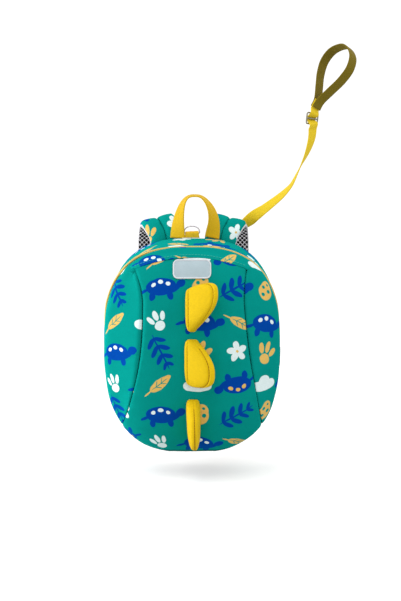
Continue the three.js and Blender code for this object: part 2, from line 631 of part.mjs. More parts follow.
// Rein: the strap weaves over the slider's bar, and its end is sewn between the ends of the hand loop.
{
  const points = REIN_ROUTE.map((row) => new THREE.Vector3(row.x, row.y, row.z));
  const turnAt = columnAt(points, REIN_ROUTE, 'turn');
  const across = (share, along) => BACKWARD.clone()
    .addScaledVector(along, -BACKWARD.dot(along))
    .applyAxisAngle(along, radians(turnAt(share)));
  const length = new THREE.CatmullRomCurve3(points, false, 'centripetal').getLength();
  const sliderAt = length - SLIDER.fromEnd;
  const pitch = SLIDER.halfBar + SLIDER.slot + SLIDER.outerBar / 2;
  const near = 2 * pitch;
  const shares = [];
  for (let at = 0; at < length;) {
    shares.push(at / length);
    at += Math.abs(at - sliderAt) < near ? STEPS.slider : length / STEPS.rein;
  }
  shares.push(1);
  const frames = framesAlong(points, shares, across);
  for (const frame of frames) {
    const off = Math.abs(frame.share * length - sliderAt);
    const overBar = Math.cos(Math.PI * off / pitch);
    const underEnd = (overBar - 1) / 2;
    const wave = off < pitch ? overBar : underEnd;
    if (off < near) frame.middle.addScaledVector(frame.face, SLIDER.lift * wave);
  }
  addPiece('rein_strap', ribbon(frames, REIN.width, REIN.thick), 'webbing');

  const seat = framesAlong(points, [sliderAt / length], across)[0];
  const frameShape = new THREE.Shape();
  const halfAlong = SLIDER.halfBar + SLIDER.slot + SLIDER.outerBar;
  const { corner } = SLIDER;
  frameShape.moveTo(SLIDER.halfLength - corner, -halfAlong);
  frameShape.quadraticCurveTo(SLIDER.halfLength, -halfAlong, SLIDER.halfLength, corner - halfAlong);
  frameShape.lineTo(SLIDER.halfLength, halfAlong - corner);
  frameShape.quadraticCurveTo(SLIDER.halfLength, halfAlong, SLIDER.halfLength - corner, halfAlong);
  frameShape.lineTo(corner - SLIDER.halfLength, halfAlong);
  frameShape.quadraticCurveTo(-SLIDER.halfLength, halfAlong, -SLIDER.halfLength, halfAlong - corner);
  frameShape.lineTo(-SLIDER.halfLength, corner - halfAlong);
  frameShape.quadraticCurveTo(-SLIDER.halfLength, -halfAlong, corner - SLIDER.halfLength, -halfAlong);
  const slotHalf = SLIDER.halfLength - SLIDER.endBar;
  for (const sign of [-1, 1]) {
    const [low, high] = sign < 0
      ? [-SLIDER.halfBar - SLIDER.slot, -SLIDER.halfBar]
      : [SLIDER.halfBar, SLIDER.halfBar + SLIDER.slot];
    const slot = new THREE.Path([[-slotHalf, low], [-slotHalf, high], [slotHalf, high], [slotHalf, low]]
      .map(([a, b]) => new THREE.Vector2(a, b)));
    frameShape.holes.push(slot);
  }
  const cut = { depth: SLIDER.thick, bevelEnabled: false, curveSegments: 4 };
  const plate = new THREE.ExtrudeGeometry(frameShape, cut);
  plate.translate(0, 0, -SLIDER.thick / 2);
  const slider = addPiece('rein_slider', plate, 'metal');
  slider.setRotationFromMatrix(new THREE.Matrix4().makeBasis(seat.across, seat.along, seat.face));
  slider.position.copy(seat.middle);

  const end = framesAlong(points, [1], across)[0];
  const loopPoint = (up, side) => end.middle.clone()
    .addScaledVector(end.along, up - LOOP_NECK)
    .addScaledVector(end.face, side);
  const loopRoute = [
    ...LOOP.map((row) => loopPoint(row.up, -row.side)),
    loopPoint(LOOP_TOP, 0),
    ...LOOP.map((row) => loopPoint(row.up, row.side)).reverse(),
  ];
  const loopFrames = framesAlong(loopRoute, STEPS.loop, () => end.across.clone());
  addPiece('rein_loop', ribbon(loopFrames, REIN.width, REIN.thick), 'webbing');
}

export default bag;
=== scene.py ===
import math

import bmesh
import bpy
import numpy as np
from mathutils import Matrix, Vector


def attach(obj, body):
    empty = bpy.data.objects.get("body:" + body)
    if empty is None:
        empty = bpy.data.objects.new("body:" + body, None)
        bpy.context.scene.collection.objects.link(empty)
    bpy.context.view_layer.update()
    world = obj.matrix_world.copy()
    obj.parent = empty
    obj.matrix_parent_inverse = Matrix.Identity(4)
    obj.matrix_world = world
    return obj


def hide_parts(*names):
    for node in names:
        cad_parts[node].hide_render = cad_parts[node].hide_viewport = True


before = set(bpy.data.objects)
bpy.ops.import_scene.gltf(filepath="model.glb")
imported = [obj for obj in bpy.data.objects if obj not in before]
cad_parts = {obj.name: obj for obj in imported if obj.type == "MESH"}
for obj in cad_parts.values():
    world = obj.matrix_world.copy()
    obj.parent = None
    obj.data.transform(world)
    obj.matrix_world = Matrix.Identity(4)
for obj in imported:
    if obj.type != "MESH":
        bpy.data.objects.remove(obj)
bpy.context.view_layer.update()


# Camera: it stands 1.3 m in front of the bag and a little above its middle, and looks slightly down.
# The picture is an upright one of 401 by 601 pixels, with the bag below its middle and left of it.
camera_lens = bpy.data.cameras.new("studio_camera")
camera_lens.sensor_fit = "VERTICAL"
camera_lens.sensor_height = 36
camera_lens.lens = 64.9
camera = bpy.data.objects.new("studio_camera", camera_lens)
camera.location = (0, -1.3373, 0.1809)
camera.rotation_euler = (math.radians(84.3), 0, math.radians(-0.45))
bpy.context.collection.objects.link(camera)
bpy.context.scene.camera = camera


# Rein: flat polyester webbing sewn to the outer face of the right shoulder strap. It twists half a
# turn on its way up, and is held up by its hand loop. Each row of its route is a point and the webbing's turn
# from edge-on, in degrees.
REIN_WIDTH = 0.015
REIN_THICK = 0.0015
REIN_ROUTE = [
    (0.0541, 0.0552, 0.1376, -48),
    (0.0606, 0.0551, 0.1382, -48),
    (0.0666, 0.0536, 0.1403, -52),
    (0.0726, 0.0512, 0.1448, -75),
    (0.0800, 0.0480, 0.1513, -110),
    (0.0906, 0.0450, 0.1589, -134),
    (0.1010, 0.0420, 0.1670, -143),
    (0.1124, 0.0390, 0.1764, -152),
    (0.1200, 0.0370, 0.1839, -162),
    (0.1254, 0.0355, 0.1905, -170),
    (0.1314, 0.0335, 0.2025, -178),
    (0.1377, 0.0310, 0.2163, -188),
    (0.1430, 0.0295, 0.2275, -200),
    (0.1470, 0.0280, 0.2385, -212),
    (0.1498, 0.0270, 0.2500, -222),
    (0.1503, 0.0260, 0.2600, -227),
    (0.1495, 0.0250, 0.2705, -228),
    (0.1516, 0.0250, 0.2810, -228),
    (0.1580, 0.0250, 0.2940, -228),
]
SLIDER_FROM_END = 0.024
SLIDER_LIFT = 0.0026
SLIDER_PITCH = 0.0067
REIN_YELLOW = (234, 202, 42)


def unit(vectors):
    return vectors / np.linalg.norm(vectors, axis=-1, keepdims=True)


def turned(vectors, axes, angles):
    """Vectors turned about unit axes, each by its own angle."""
    angles = np.asarray(angles)[..., None]
    beside = np.cross(axes, vectors)
    along = axes * np.sum(axes * vectors, axis=-1, keepdims=True)
    return vectors * np.cos(angles) + beside * np.sin(angles) + along * (1 - np.cos(angles))


def distance_along(points):
    return np.concatenate([[0], np.cumsum(np.linalg.norm(np.diff(points, axis=0), axis=1))])


def smooth_route(points, count):
    """Points equally spaced on a smooth curve through the given ones, each one's place in their list, and its
    distance along the curve."""
    points = np.asarray(points, float)
    guides = np.vstack([2 * points[0] - points[1], points, 2 * points[-1] - points[-2]])
    s = np.linspace(0, 1, 60, endpoint=False)[:, None]
    curve, places = [], []
    for k in range(len(points) - 1):
        a, b, c, d = guides[k:k + 4]
        ab, bc, cd = (np.linalg.norm(q - p) ** 0.5 for p, q in ((a, b), (b, c), (c, d)))
        leave = ((b - a) / ab - (c - a) / (ab + bc) + (c - b) / bc) * bc
        arrive = ((c - b) / bc - (d - b) / (bc + cd) + (d - c) / cd) * bc
        square = 3 * (c - b) - 2 * leave - arrive
        cube = 2 * (b - c) + leave + arrive
        curve.append(b + leave * s + square * s ** 2 + cube * s ** 3)
        places.append(k + s[:, 0])
    curve = np.vstack([*curve, points[-1:]])
    places = np.concatenate([*places, [len(points) - 1]])
    far = distance_along(curve)
    even = np.linspace(0, far[-1], count)
    middles = np.stack([np.interp(even, far, curve[:, k]) for k in range(3)], axis=1)
    return middles, np.interp(even, far, places), even


def make_piece(name, points, faces, cloth=None, behind=None):
    """A smooth mesh. Cloth holds each point's place in the flat cloth, and behind is a point at the back of
    an open piece."""
    mesh = bpy.data.meshes.new(name)
    points = np.asarray(points, float).reshape(-1, 3)
    mesh.from_pydata(points.tolist(), [], [list(map(int, face)) for face in faces])
    if cloth is not None:
        corners = np.empty(len(mesh.loops), int)
        mesh.loops.foreach_get("vertex_index", corners)
        layer = mesh.uv_layers.new(name="flat_cloth")
        layer.data.foreach_set("uv", np.asarray(cloth, float).reshape(-1, 2)[corners].ravel())
    shell = bmesh.new()
    shell.from_mesh(mesh)
    if behind is None:
        bmesh.ops.recalc_face_normals(shell, faces=shell.faces)
    else:
        facing = sum((np.array(f.calc_center_median()) - behind) @ np.array(f.normal) for f in shell.faces)
        if facing < 0:
            bmesh.ops.reverse_faces(shell, faces=shell.faces)
    shell.to_mesh(mesh)
    shell.free()
    mesh.shade_smooth()
    piece = bpy.data.objects.new(name, mesh)
    bpy.context.collection.objects.link(piece)
    return piece


def skin(rows, columns, close_rows=False, close_columns=False):
    """Quads over a grid of points that is held row by row."""
    i, j = np.meshgrid(np.arange(rows if close_rows else rows - 1),
                       np.arange(columns if close_columns else columns - 1), indexing="ij")
    next_i, next_j = (i + 1) % rows, (j + 1) % columns
    quads = [i * columns + j, i * columns + next_j, next_i * columns + next_j, next_i * columns + j]
    return np.stack(quads, axis=-1).reshape(-1, 4).tolist()


def tube_faces(rows, columns, start=0):
    """Faces round a tube of rings of points, with both of its ends closed."""
    first, last = np.arange(columns), (rows - 1) * columns + np.arange(columns)
    faces = skin(rows, columns, close_columns=True) + [first[::-1].tolist(), last.tolist()]
    return [[start + k for k in face] for face in faces]


def sweep(name, middles, across, section, closed=False):
    """A closed piece whose section, in distances across and off the face, is carried along a route."""
    if closed:
        along = unit(np.roll(middles, -1, axis=0) - np.roll(middles, 1, axis=0))
    else:
        along = unit(np.gradient(middles, axis=0))
    across = unit(across - along * np.sum(across * along, axis=-1, keepdims=True))
    face = np.cross(across, along)
    section = np.asarray(section, float)
    points = middles[:, None] + section[:, 0, None] * across[:, None] + section[:, 1, None] * face[:, None]
    cloth = np.stack(np.broadcast_arrays(section[None, :, 0], distance_along(middles)[:, None]), axis=-1)
    rows, columns = len(middles), len(section)
    faces = skin(rows, columns, True, True) if closed else tube_faces(rows, columns)
    return make_piece(name, points, faces, cloth)


def round_angles(count):
    return np.linspace(0, 2 * math.pi, count, endpoint=False)


def webbing_section(width, thick, points=20, squareness=6):
    """Round-edged flat section of webbing."""
    angle = round_angles(points) + math.pi / points
    c, s = np.cos(angle), np.sin(angle)
    power = 2 / squareness
    across = width / 2 * np.sign(c) * np.abs(c) ** power
    return np.stack([across, thick / 2 * np.sign(s) * np.abs(s) ** power], axis=1)


def linear(red, green, blue):
    """A screen colour from 0 to 255 as the shader wants it."""
    share = np.array([red, green, blue]) / 255
    return (*np.where(share <= 0.04045, share / 12.92, ((share + 0.055) / 1.055) ** 2.4).tolist(), 1)


def shaded(colour, share=1.0):
    """A screen colour, made darker by a share, as the shader wants it."""
    return linear(*(share * np.array(colour)))


def node_group(name, inputs, outputs):
    """An empty shader node group with named sockets, and its two ends."""
    group = bpy.data.node_groups.new(name, "ShaderNodeTree")
    for label, kind in inputs.items():
        group.interface.new_socket(label, in_out="INPUT", socket_type=kind)
    for label, kind in outputs.items():
        group.interface.new_socket(label, in_out="OUTPUT", socket_type=kind)
    return group, group.nodes.new("NodeGroupInput").outputs, group.nodes.new("NodeGroupOutput").inputs


def node(tree, kind, inputs=None, **settings):
    """A node with its settings, and its inputs linked or set."""
    made = tree.nodes.new(kind)
    for key, value in settings.items():
        setattr(made, key, value)
    for key, value in (inputs or {}).items():
        if isinstance(value, bpy.types.NodeSocket):
            tree.links.new(value, made.inputs[key])
        else:
            made.inputs[key].default_value = value
    return made


def maths(tree, operation, *values):
    return node(tree, "ShaderNodeMath", dict(enumerate(values)), operation=operation).outputs[0]


def blended(tree, share, first, second):
    """One colour mixed over another by a share."""
    mixer = node(tree, "ShaderNodeMix", {0: share}, data_type="RGBA")
    for socket, value in ((mixer.inputs[6], first), (mixer.inputs[7], second)):
        if isinstance(value, bpy.types.NodeSocket):
            tree.links.new(value, socket)
        else:
            socket.default_value = value
    return mixer.outputs[2]


def noise(tree, place, scale, detail=2.0):
    values = {"Vector": place, "Scale": scale, "Detail": detail}
    return node(tree, "ShaderNodeTexNoise", values).outputs[0]


def new_finish(name, roughness, gloss=0.1, metallic=0.0):
    """A material with its shader, whose looks are then linked in. Cloth has little gloss."""
    material = bpy.data.materials.new(name)
    material.use_nodes = True
    shader = material.node_tree.nodes["Principled BSDF"]
    shader.inputs["Roughness"].default_value = roughness
    shader.inputs["Metallic"].default_value = metallic
    shader.inputs["Specular IOR Level"].default_value = gloss
    return material, material.node_tree, shader


def raise_surface(tree, shader, height, distance, strength=1.0):
    """Fine relief of a finish, by the height of its highest threads in metres."""
    bump = node(tree, "ShaderNodeBump", {"Height": height, "Distance": distance, "Strength": strength})
    tree.links.new(bump.outputs["Normal"], shader.inputs["Normal"])


def flat_cloth(tree):
    return node(tree, "ShaderNodeUVMap", uv_map="flat_cloth").outputs["UV"]


# Webbing weave: warp threads run along, and the weft floats over them in small chevrons.
weave, weave_in, weave_out = node_group(
    "webbing_weave",
    {"Cloth": "NodeSocketVector", "Thread": "NodeSocketFloat"},
    {"Height": "NodeSocketFloat", "Shade": "NodeSocketFloat"},
)
weave_place = node(weave, "ShaderNodeSeparateXYZ", {0: weave_in["Cloth"]}).outputs
weave_column = maths(weave, "DIVIDE", weave_place["X"], weave_in["Thread"])
weave_row = maths(weave, "DIVIDE", weave_place["Y"], weave_in["Thread"])
weave_chevron = maths(weave, "MULTIPLY_ADD", maths(weave, "PINGPONG", weave_column, 4.0), 0.5, weave_row)
weave_float = maths(weave, "SINE", maths(weave, "MULTIPLY", weave_chevron, math.pi))
weave_warp = maths(weave, "ABSOLUTE", maths(weave, "SINE", maths(weave, "MULTIPLY", weave_column, math.pi)))
weave_thread = maths(weave, "MULTIPLY", weave_warp, maths(weave, "MULTIPLY_ADD", weave_float, 0.35, 0.65))
weave_fuzz = noise(weave, weave_in["Cloth"], 260.0, 3.0)
weave.links.new(weave_thread, weave_out["Height"])
# Shade: a random fuzz in tone, and painted shade where the threads lie low.
weave_shade = maths(weave, "MULTIPLY_ADD", weave_fuzz, 0.5, maths(weave, "MULTIPLY", weave_thread, 0.5))
weave.links.new(weave_shade, weave_out["Shade"])


def woven_finish(name, colour, thread, relief, strength, gap_shade, roughness, gloss):
    """Dyed woven cloth, with shade painted between its threads."""
    material, tree, shader = new_finish(name, roughness, gloss)
    threads = node(tree, "ShaderNodeGroup", {"Cloth": flat_cloth(tree), "Thread": thread}, node_tree=weave)
    dyed = blended(tree, threads.outputs["Shade"], shaded(colour, gap_shade), shaded(colour))
    tree.links.new(dyed, shader.inputs["Base Color"])
    raise_surface(tree, shader, threads.outputs["Height"], relief, strength)
    return material


def webbing_finish(name, colour):
    """Polyester webbing."""
    return woven_finish(name, colour, thread=0.0009, relief=0.00035, strength=0.4, gap_shade=0.88,
                        roughness=0.62, gloss=0.08)


def fit(piece, finish, slot, *nodes, body="pack"):
    """Gives a piece its finish, fixes it to its body and puts it in place of the solids it stands for."""
    piece.data.materials.append(finish)
    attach(piece, body)
    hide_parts(*nodes)
    return piece


rein_finish = webbing_finish("rein_webbing", REIN_YELLOW)
BACKWARD = np.array([0.0, 1.0, 0.0])
rein_rows = np.array(REIN_ROUTE)
rein_middles, rein_places, rein_far = smooth_route(rein_rows[:, :3], 260)
rein_turns = np.interp(rein_places, np.arange(len(rein_rows)), rein_rows[:, 3])
rein_along = unit(np.gradient(rein_middles, axis=0))
rein_edgewise = unit(BACKWARD - rein_along * rein_along[:, 1:2])
rein_sideways = turned(rein_edgewise, rein_along, np.radians(rein_turns))
rein_faces = np.cross(rein_sideways, rein_along)
slider_far = rein_far[-1] - SLIDER_FROM_END
off_slider = np.abs(rein_far - slider_far)
over_bar = np.cos(math.pi * off_slider / SLIDER_PITCH)
rein_wave = np.where(off_slider < SLIDER_PITCH, over_bar, (over_bar - 1) / 2)
rein_wave[off_slider > 2 * SLIDER_PITCH] = 0
rein_path = rein_middles + SLIDER_LIFT * rein_wave[:, None] * rein_faces
rein = sweep("rein_webbing", rein_path, rein_sideways, webbing_section(REIN_WIDTH, REIN_THICK))
fit(rein, rein_finish, "webbing", "rein_strap")


# Slider: a flat frame of plated wire with a bar across its middle. The rein passes over the bar and under the
# ends of the frame, and grips there.
SLIDER_HALF = (0.0101, 0.0067)
SLIDER_WIRE, SLIDER_BAR = 0.00095, 0.0011
SLIDER_CORNER = 0.002
SLIDER_GREY = (150, 146, 128)


def rounded_rectangle(half_across, half_up, corner, per_corner):
    """Points round a rectangle with round corners, anticlockwise."""
    turn = np.linspace(0, math.pi / 2, per_corner)
    places = []
    for quarter, (a, b) in enumerate(((1, 1), (-1, 1), (-1, -1), (1, -1))):
        angle = turn + quarter * math.pi / 2
        places.append(np.stack([a * (half_across - corner) + corner * np.cos(angle),
                                b * (half_up - corner) + corner * np.sin(angle)], axis=1))
    return np.vstack(places)


def wire_section(radius, points=12):
    angle = round_angles(points)
    return np.stack([radius * np.cos(angle), radius * np.sin(angle)], axis=1)


def object_place(tree):
    return node(tree, "ShaderNodeTexCoord").outputs["Object"]


def metal_finish(name, colour, metallic=1.0):
    """Plated wire with a faint haze."""
    material, tree, shader = new_finish(name, 0.24, gloss=0.5, metallic=metallic)
    haze = noise(tree, object_place(tree), 420.0, 4.0)
    tree.links.new(blended(tree, haze, shaded(colour, 0.9), shaded(colour)), shader.inputs["Base Color"])
    tree.links.new(maths(tree, "MULTIPLY_ADD", haze, 0.25, 0.15), shader.inputs["Roughness"])
    raise_surface(tree, shader, haze, 0.00005, 0.4)
    return material


slider_finish = metal_finish("slider_plate", SLIDER_GREY)
slider_row = int(np.argmin(off_slider))
slider_middle = rein_middles[slider_row]
slider_axes = (rein_sideways[slider_row], rein_along[slider_row], rein_faces[slider_row])


def on_slider(across, along):
    return slider_middle + across[:, None] * slider_axes[0] + along[:, None] * slider_axes[1]


slider_loop = rounded_rectangle(*SLIDER_HALF, SLIDER_CORNER, 7)
slider_frame = sweep("rein_slider_frame", on_slider(slider_loop[:, 0], slider_loop[:, 1]),
                     np.tile(slider_axes[2], (len(slider_loop), 1)), wire_section(SLIDER_WIRE), closed=True)
bar_reach = np.linspace(-SLIDER_HALF[0], SLIDER_HALF[0], 13)
slider_bar = sweep("rein_slider_bar", on_slider(bar_reach, 0 * bar_reach),
                   np.tile(slider_axes[2], (len(bar_reach), 1)), wire_section(SLIDER_BAR))
fit(slider_frame, slider_finish, "plated_wire", "rein_slider")
fit(slider_bar, slider_finish, "plated_wire")


# Hand loop: a length of the rein's webbing, whose two ends are sewn to both faces of the rein's end. Its
# yellow is painted dark olive as the shade inside the loop. Each row is a height above the neck's foot and
# the distance of each half of the loop from the middle there.
LOOP_NECK = 0.010
LOOP_ROWS = [(0, 0.0019), (0.009, 0.0021), (0.025, 0.010), (0.043, 0.019), (0.060, 0.0225), (0.075, 0.017)]
LOOP_TOP = 0.084
# Painted shade: the loop's yellow webbing darkened to olive.
LOOP_SHADE_OLIVE = (120, 104, 22)
loop_end = rein_middles[-1]
loop_out, loop_face, loop_across = rein_along[-1], rein_faces[-1], rein_sideways[-1]
loop_route = [(up, -side) for up, side in LOOP_ROWS] + [(LOOP_TOP, 0)]
loop_route += [(up, side) for up, side in LOOP_ROWS[::-1]]
loop_points = [loop_end + (up - LOOP_NECK) * loop_out + side * loop_face for up, side in loop_route]
loop_middles = smooth_route(loop_points, 160)[0]
rein_loop = sweep("rein_hand_loop", loop_middles, np.tile(loop_across, (len(loop_middles), 1)),
                  webbing_section(REIN_WIDTH, REIN_THICK))
fit(rein_loop, webbing_finish("loop_webbing", LOOP_SHADE_OLIVE), "webbing", "rein_loop")


# Front panel: the middle of the domed front, cut from printed neoprene 2.4 mm thick. It is sewn face to face
# to the rim panel along two side seams and a top seam, and rolls into them.
EGG_HALF_WIDTH = 0.1043
EGG_TOP, EGG_ROUND_TOP = 0.125, 2.75
EGG_FRONT_TOP, EGG_FRONT_ROUND_TOP = 0.1173, 2.66
EGG_BASE, EGG_ROUND_BASE = 0.1285, 2.65
EGG_BASE_LEVEL = -0.127
SIDE_DEPTH = 0.062
DOME_RIM, DOME_DEPTH = 0.0638, 0.046
DOME_FULLNESS, DOME_FULLER_BELOW = 2.6, 0.4
SIDE_LOW_OUT, SIDE_LOWEST, SIDE_CURVE_ABOVE = 0.0839, -0.0935, 2
# Each side seam's distance from the middle at its top and waist, the waist's level and the curve below it.
SIDE_SEAMS = {-1: (0.0694, 0.0577, 0.050, 2.25), 1: (0.065, 0.0612, 0.056, 1.4)}
TOP_SEAM_UP, TOP_SEAM_SAG = 0.107, 0.014
SEAM_CORNER = TOP_SEAM_UP - TOP_SEAM_SAG
SEAM_HALF_GAP = 0.0004
SIDE_ROLL = {"width": 0.0060, "depth": 0.0042}
BASE_ROLL = {"width": 0.0034, "depth": 0.0030}
# How much of the roll a side seam has at three levels, and the puckers beside it.
SEAM_LEVELS, SEAM_SHARES = (-0.085, -0.05, -0.02), (0.3, 0.55, 1)
PUCKER_HEIGHT, PUCKER_REACH, PUCKER_FROM = 0.0003, 0.007, 0.001
PUCKER_WAVE, PUCKER_WANDER = 0.0021, 0.017
FRONT_SWELL, FRONT_SWELL_SCALE = 0.0007, 0.030
NEOPRENE_THICK = 0.0024
INSIDE_BAG = np.array([0, 0.05, 0])


def egg_outline(angle, outset=0.0, depth=SIDE_DEPTH):
    """The bag's outline from the front, at an angle from +X. Its top slopes down towards the front."""
    c, s = np.cos(angle), np.sin(angle)
    share = depth / SIDE_DEPTH
    power = np.where(s > 0, EGG_ROUND_TOP + (EGG_FRONT_ROUND_TOP - EGG_ROUND_TOP) * share, EGG_ROUND_BASE)
    height = np.where(s > 0, EGG_TOP + (EGG_FRONT_TOP - EGG_TOP) * share, EGG_BASE)
    reach = (np.abs(c / EGG_HALF_WIDTH) ** power + np.abs(s / height) ** power) ** (-1 / power) + outset
    return reach * c, np.maximum(reach * s, EGG_BASE_LEVEL - outset)


def dome_fullness(angle):
    return DOME_FULLNESS - DOME_FULLER_BELOW * np.sin(angle)


def dome_point(disc_x, disc_z):
    """The domed front over the unit disc: its middle is the foremost point, and its rim the piped seam."""
    angle = np.arctan2(disc_z, disc_x)
    slope = np.minimum(np.hypot(disc_x, disc_z), 1) * math.pi / 2
    share = np.sin(slope) ** (2 / dome_fullness(angle))
    edge_x, edge_z = egg_outline(angle)
    return np.stack([edge_x * share, -DOME_RIM - DOME_DEPTH * np.cos(slope), edge_z * share], axis=-1)


def disc_at(x, z):
    angle = np.arctan2(z, x)
    share = np.minimum(np.hypot(x, z) / np.hypot(*egg_outline(angle)), 1)
    reach = np.arcsin(share ** (dome_fullness(angle) / 2)) / (math.pi / 2)
    return reach * np.cos(angle), reach * np.sin(angle)


def dome_flat(disc_x, disc_z):
    """A dome point's place in the flat cloth: straight out from the middle by the distance over the dome."""
    steps = np.linspace(0, 1, 25)
    path = dome_point(disc_x[..., None] * steps, disc_z[..., None] * steps)
    reach = np.linalg.norm(np.diff(path, axis=-2), axis=-1).sum(axis=-1)
    angle = np.arctan2(disc_z, disc_x)
    return np.stack([reach * np.cos(angle), reach * np.sin(angle)], axis=-1)


def on_front(x, z, lift=0.0):
    """Points of the domed front seen at (x, z), lifted off it, and the outward normals there."""
    x, z = np.asarray(x, float), np.asarray(z, float)
    near = 0.0005
    normal = unit(np.cross(dome_point(*disc_at(x + near, z)) - dome_point(*disc_at(x - near, z)),
                           dome_point(*disc_at(x, z + near)) - dome_point(*disc_at(x, z - near))))
    return dome_point(*disc_at(x, z)) + np.asarray(lift)[..., None] * normal, normal


def side_seam(z, sign):
    """Distance of a side seam from the middle, at a level."""
    top_out, waist_out, waist_up, curve_below = SIDE_SEAMS[sign]
    above = np.maximum((z - waist_up) / (SEAM_CORNER - waist_up), 0) ** SIDE_CURVE_ABOVE
    below = np.maximum((waist_up - z) / (waist_up - SIDE_LOWEST), 0) ** curve_below
    return waist_out + (top_out - waist_out) * above + (SIDE_LOW_OUT - waist_out) * below


def top_seam(x):
    return TOP_SEAM_UP - TOP_SEAM_SAG * (x / np.where(x < 0, SIDE_SEAMS[-1][0], SIDE_SEAMS[1][0])) ** 2


def spaced(count, edge, fine=6):
    """Shares from 0 to 1 that lie closer together near both ends."""
    near = edge * (1 - np.cos(np.linspace(0, math.pi / 2, fine + 1)[:-1]))
    return np.concatenate([near, np.linspace(edge, 1 - edge, count), 1 - near[::-1]])


def roll_in(distance, width, depth):
    """How far cloth has sunk at a distance from its seam, as a quarter round."""
    near = np.clip(1 - distance / width, 0, 1)
    return depth * (1 - np.sqrt(1 - near ** 2))


def reach_along(points, axis):
    """Distance over the cloth from the first point of each line of a grid."""
    steps = np.linalg.norm(np.diff(points, axis=axis), axis=-1)
    lead = np.zeros_like(np.take(steps, [0], axis=axis))
    return np.cumsum(np.concatenate([lead, steps], axis=axis), axis=axis)


def grid_normals(points, towards):
    normal = unit(np.cross(np.gradient(points, axis=0), np.gradient(points, axis=1)) + 1e-15)
    return normal * np.where(np.sum(normal * towards, axis=-1, keepdims=True) < 0, -1, 1)


def ripple(x, y, scale):
    """Slow uneven swell of stretched cloth, from -1 to 1."""
    a, b = x / scale, y / scale
    return (np.sin(2.1 * a + 0.7) * np.sin(1.7 * b + 1.9) + np.sin(1.3 * a - 2.3 * b + 0.4)
            + 0.6 * np.sin(3.7 * a + 2.9 * b + 2.2)) / 2.6


# Up to this share of its height the panel's side runs from the piping to the foot of the side seam.
SIDE_FOOT_SHARE = 0.024
front_u, front_v = spaced(78, 0.04), spaced(100, SIDE_FOOT_SHARE)
low_angle = math.atan2(SIDE_LOWEST, SIDE_LOW_OUT - SEAM_HALF_GAP)


def front_base(u):
    angle = -math.pi - low_angle + (2 * low_angle + math.pi) * u
    return np.stack([np.cos(angle), np.sin(angle)], axis=-1)


def front_side(v, sign):
    climb = np.maximum(v - SIDE_FOOT_SHARE, 0) / (1 - SIDE_FOOT_SHARE)
    z = SIDE_LOWEST + (SEAM_CORNER - SEAM_HALF_GAP - SIDE_LOWEST) * climb
    disc = np.stack(disc_at(sign * (side_seam(z, sign) - SEAM_HALF_GAP), z), axis=-1)
    reach = np.linalg.norm(disc, axis=-1, keepdims=True)
    return disc / reach * (reach + (1 - reach) * np.maximum(1 - v / SIDE_FOOT_SHARE, 0)[..., None])


def front_top(u):
    left, right = (SIDE_SEAMS[sign][0] - SEAM_HALF_GAP for sign in (-1, 1))
    x = u * (left + right) - left
    return np.stack(disc_at(x, top_seam(x) - SEAM_HALF_GAP), axis=-1)


def front_disc(u, v):
    """The front panel over the unit square, stretched between its four edges."""
    u, v = np.meshgrid(u, v)
    corners = [(front_base(np.array(float(cu))) if cv == 0 else front_top(np.array(float(cu))), cu, cv)
               for cu in (0, 1) for cv in (0, 1)]
    disc = (front_base(u) * (1 - v)[..., None] + front_top(u) * v[..., None]
            + front_side(v, -1) * (1 - u)[..., None] + front_side(v, 1) * u[..., None])
    for corner, cu, cv in corners:
        weight = (u if cu else 1 - u) * (v if cv else 1 - v)
        disc = disc - corner * weight[..., None]
    return disc[..., 0], disc[..., 1]


front_disc_x, front_disc_z = front_disc(front_u, front_v)
front_points = dome_point(front_disc_x, front_disc_z)
front_normals = grid_normals(front_points, np.array([0, -1.0, 0]))
from_left = reach_along(front_points, 1)
from_right = from_left[:, -1:] - from_left
from_base = reach_along(front_points, 0)
near_side = np.minimum(from_left, from_right)


def side_sink(distance, z):
    """How far cloth sinks into a side seam, deep above and shallow towards its foot, with its puckers."""
    deep = np.interp(z, SEAM_LEVELS, SEAM_SHARES)
    wave = np.sin(z / PUCKER_WAVE + 2 * np.sin(z / PUCKER_WANDER))
    pucker = wave * np.exp(-distance / PUCKER_REACH) * (distance > PUCKER_FROM)
    return deep * roll_in(distance, **SIDE_ROLL) + PUCKER_HEIGHT * pucker


front_sink = side_sink(near_side, front_points[..., 2]) + roll_in(from_base, **BASE_ROLL)
front_swell = ripple(front_points[..., 0], front_points[..., 2], FRONT_SWELL_SCALE)
front_lift = FRONT_SWELL * front_swell - front_sink
front_panel = make_piece("front_panel_neoprene", front_points + front_lift[..., None] * front_normals,
                         skin(len(front_v), len(front_u)), dome_flat(front_disc_x, front_disc_z),
                         behind=INSIDE_BAG)


def thicken(piece, thick):
    """Gives an open cloth piece its thickness, behind its face."""
    wall = piece.modifiers.new("thickness", "SOLIDIFY")
    wall.thickness = thick
    wall.offset = -1


thicken(front_panel, NEOPRENE_THICK)

# Printed neoprene: green knit ground with cobalt, apricot and white motifs in a half-drop repeat. Each motif
# is a few ovals, given by their middle, half length, half width and turn in millimetres and degrees.
PRINT_REPEAT = (0.138, 0.150)
GROUND_GREEN = (5, 134, 125)
COBALT_INK = (4, 60, 150)
APRICOT_INK = (214, 174, 92)
WHITE_INK = (214, 228, 228)
TORTOISE = [(0, 2, 16, 9.5, 0), (13, -1, 8, 3.4, 25), (20.5, 4, 5.2, 4.2, 20), (9, -7.5, 3.2, 5, 10),
            (-9.5, -7.5, 3.2, 5, -10), (-18, -2, 5.5, 1.7, 25)]
SHELL_SPOTS = [(-7.5, 4.5, 2.6, 2.1, 30), (0, 7, 2.8, 2.2, 0), (7.5, 4.5, 2.6, 2.1, -30)]
FERN = [(0, 0, 22, 1.2, 0), (-13, 5.5, 7, 2.6, 52), (-13, -5.5, 7, 2.6, -52), (-3, 6, 7.4, 2.8, 52),
        (-3, -6, 7.4, 2.8, -52), (7, 5, 6.4, 2.6, 50), (7, -5, 6.4, 2.6, -50), (16, 3, 4.8, 2.1, 42),
        (16, -3, 4.8, 2.1, -42)]
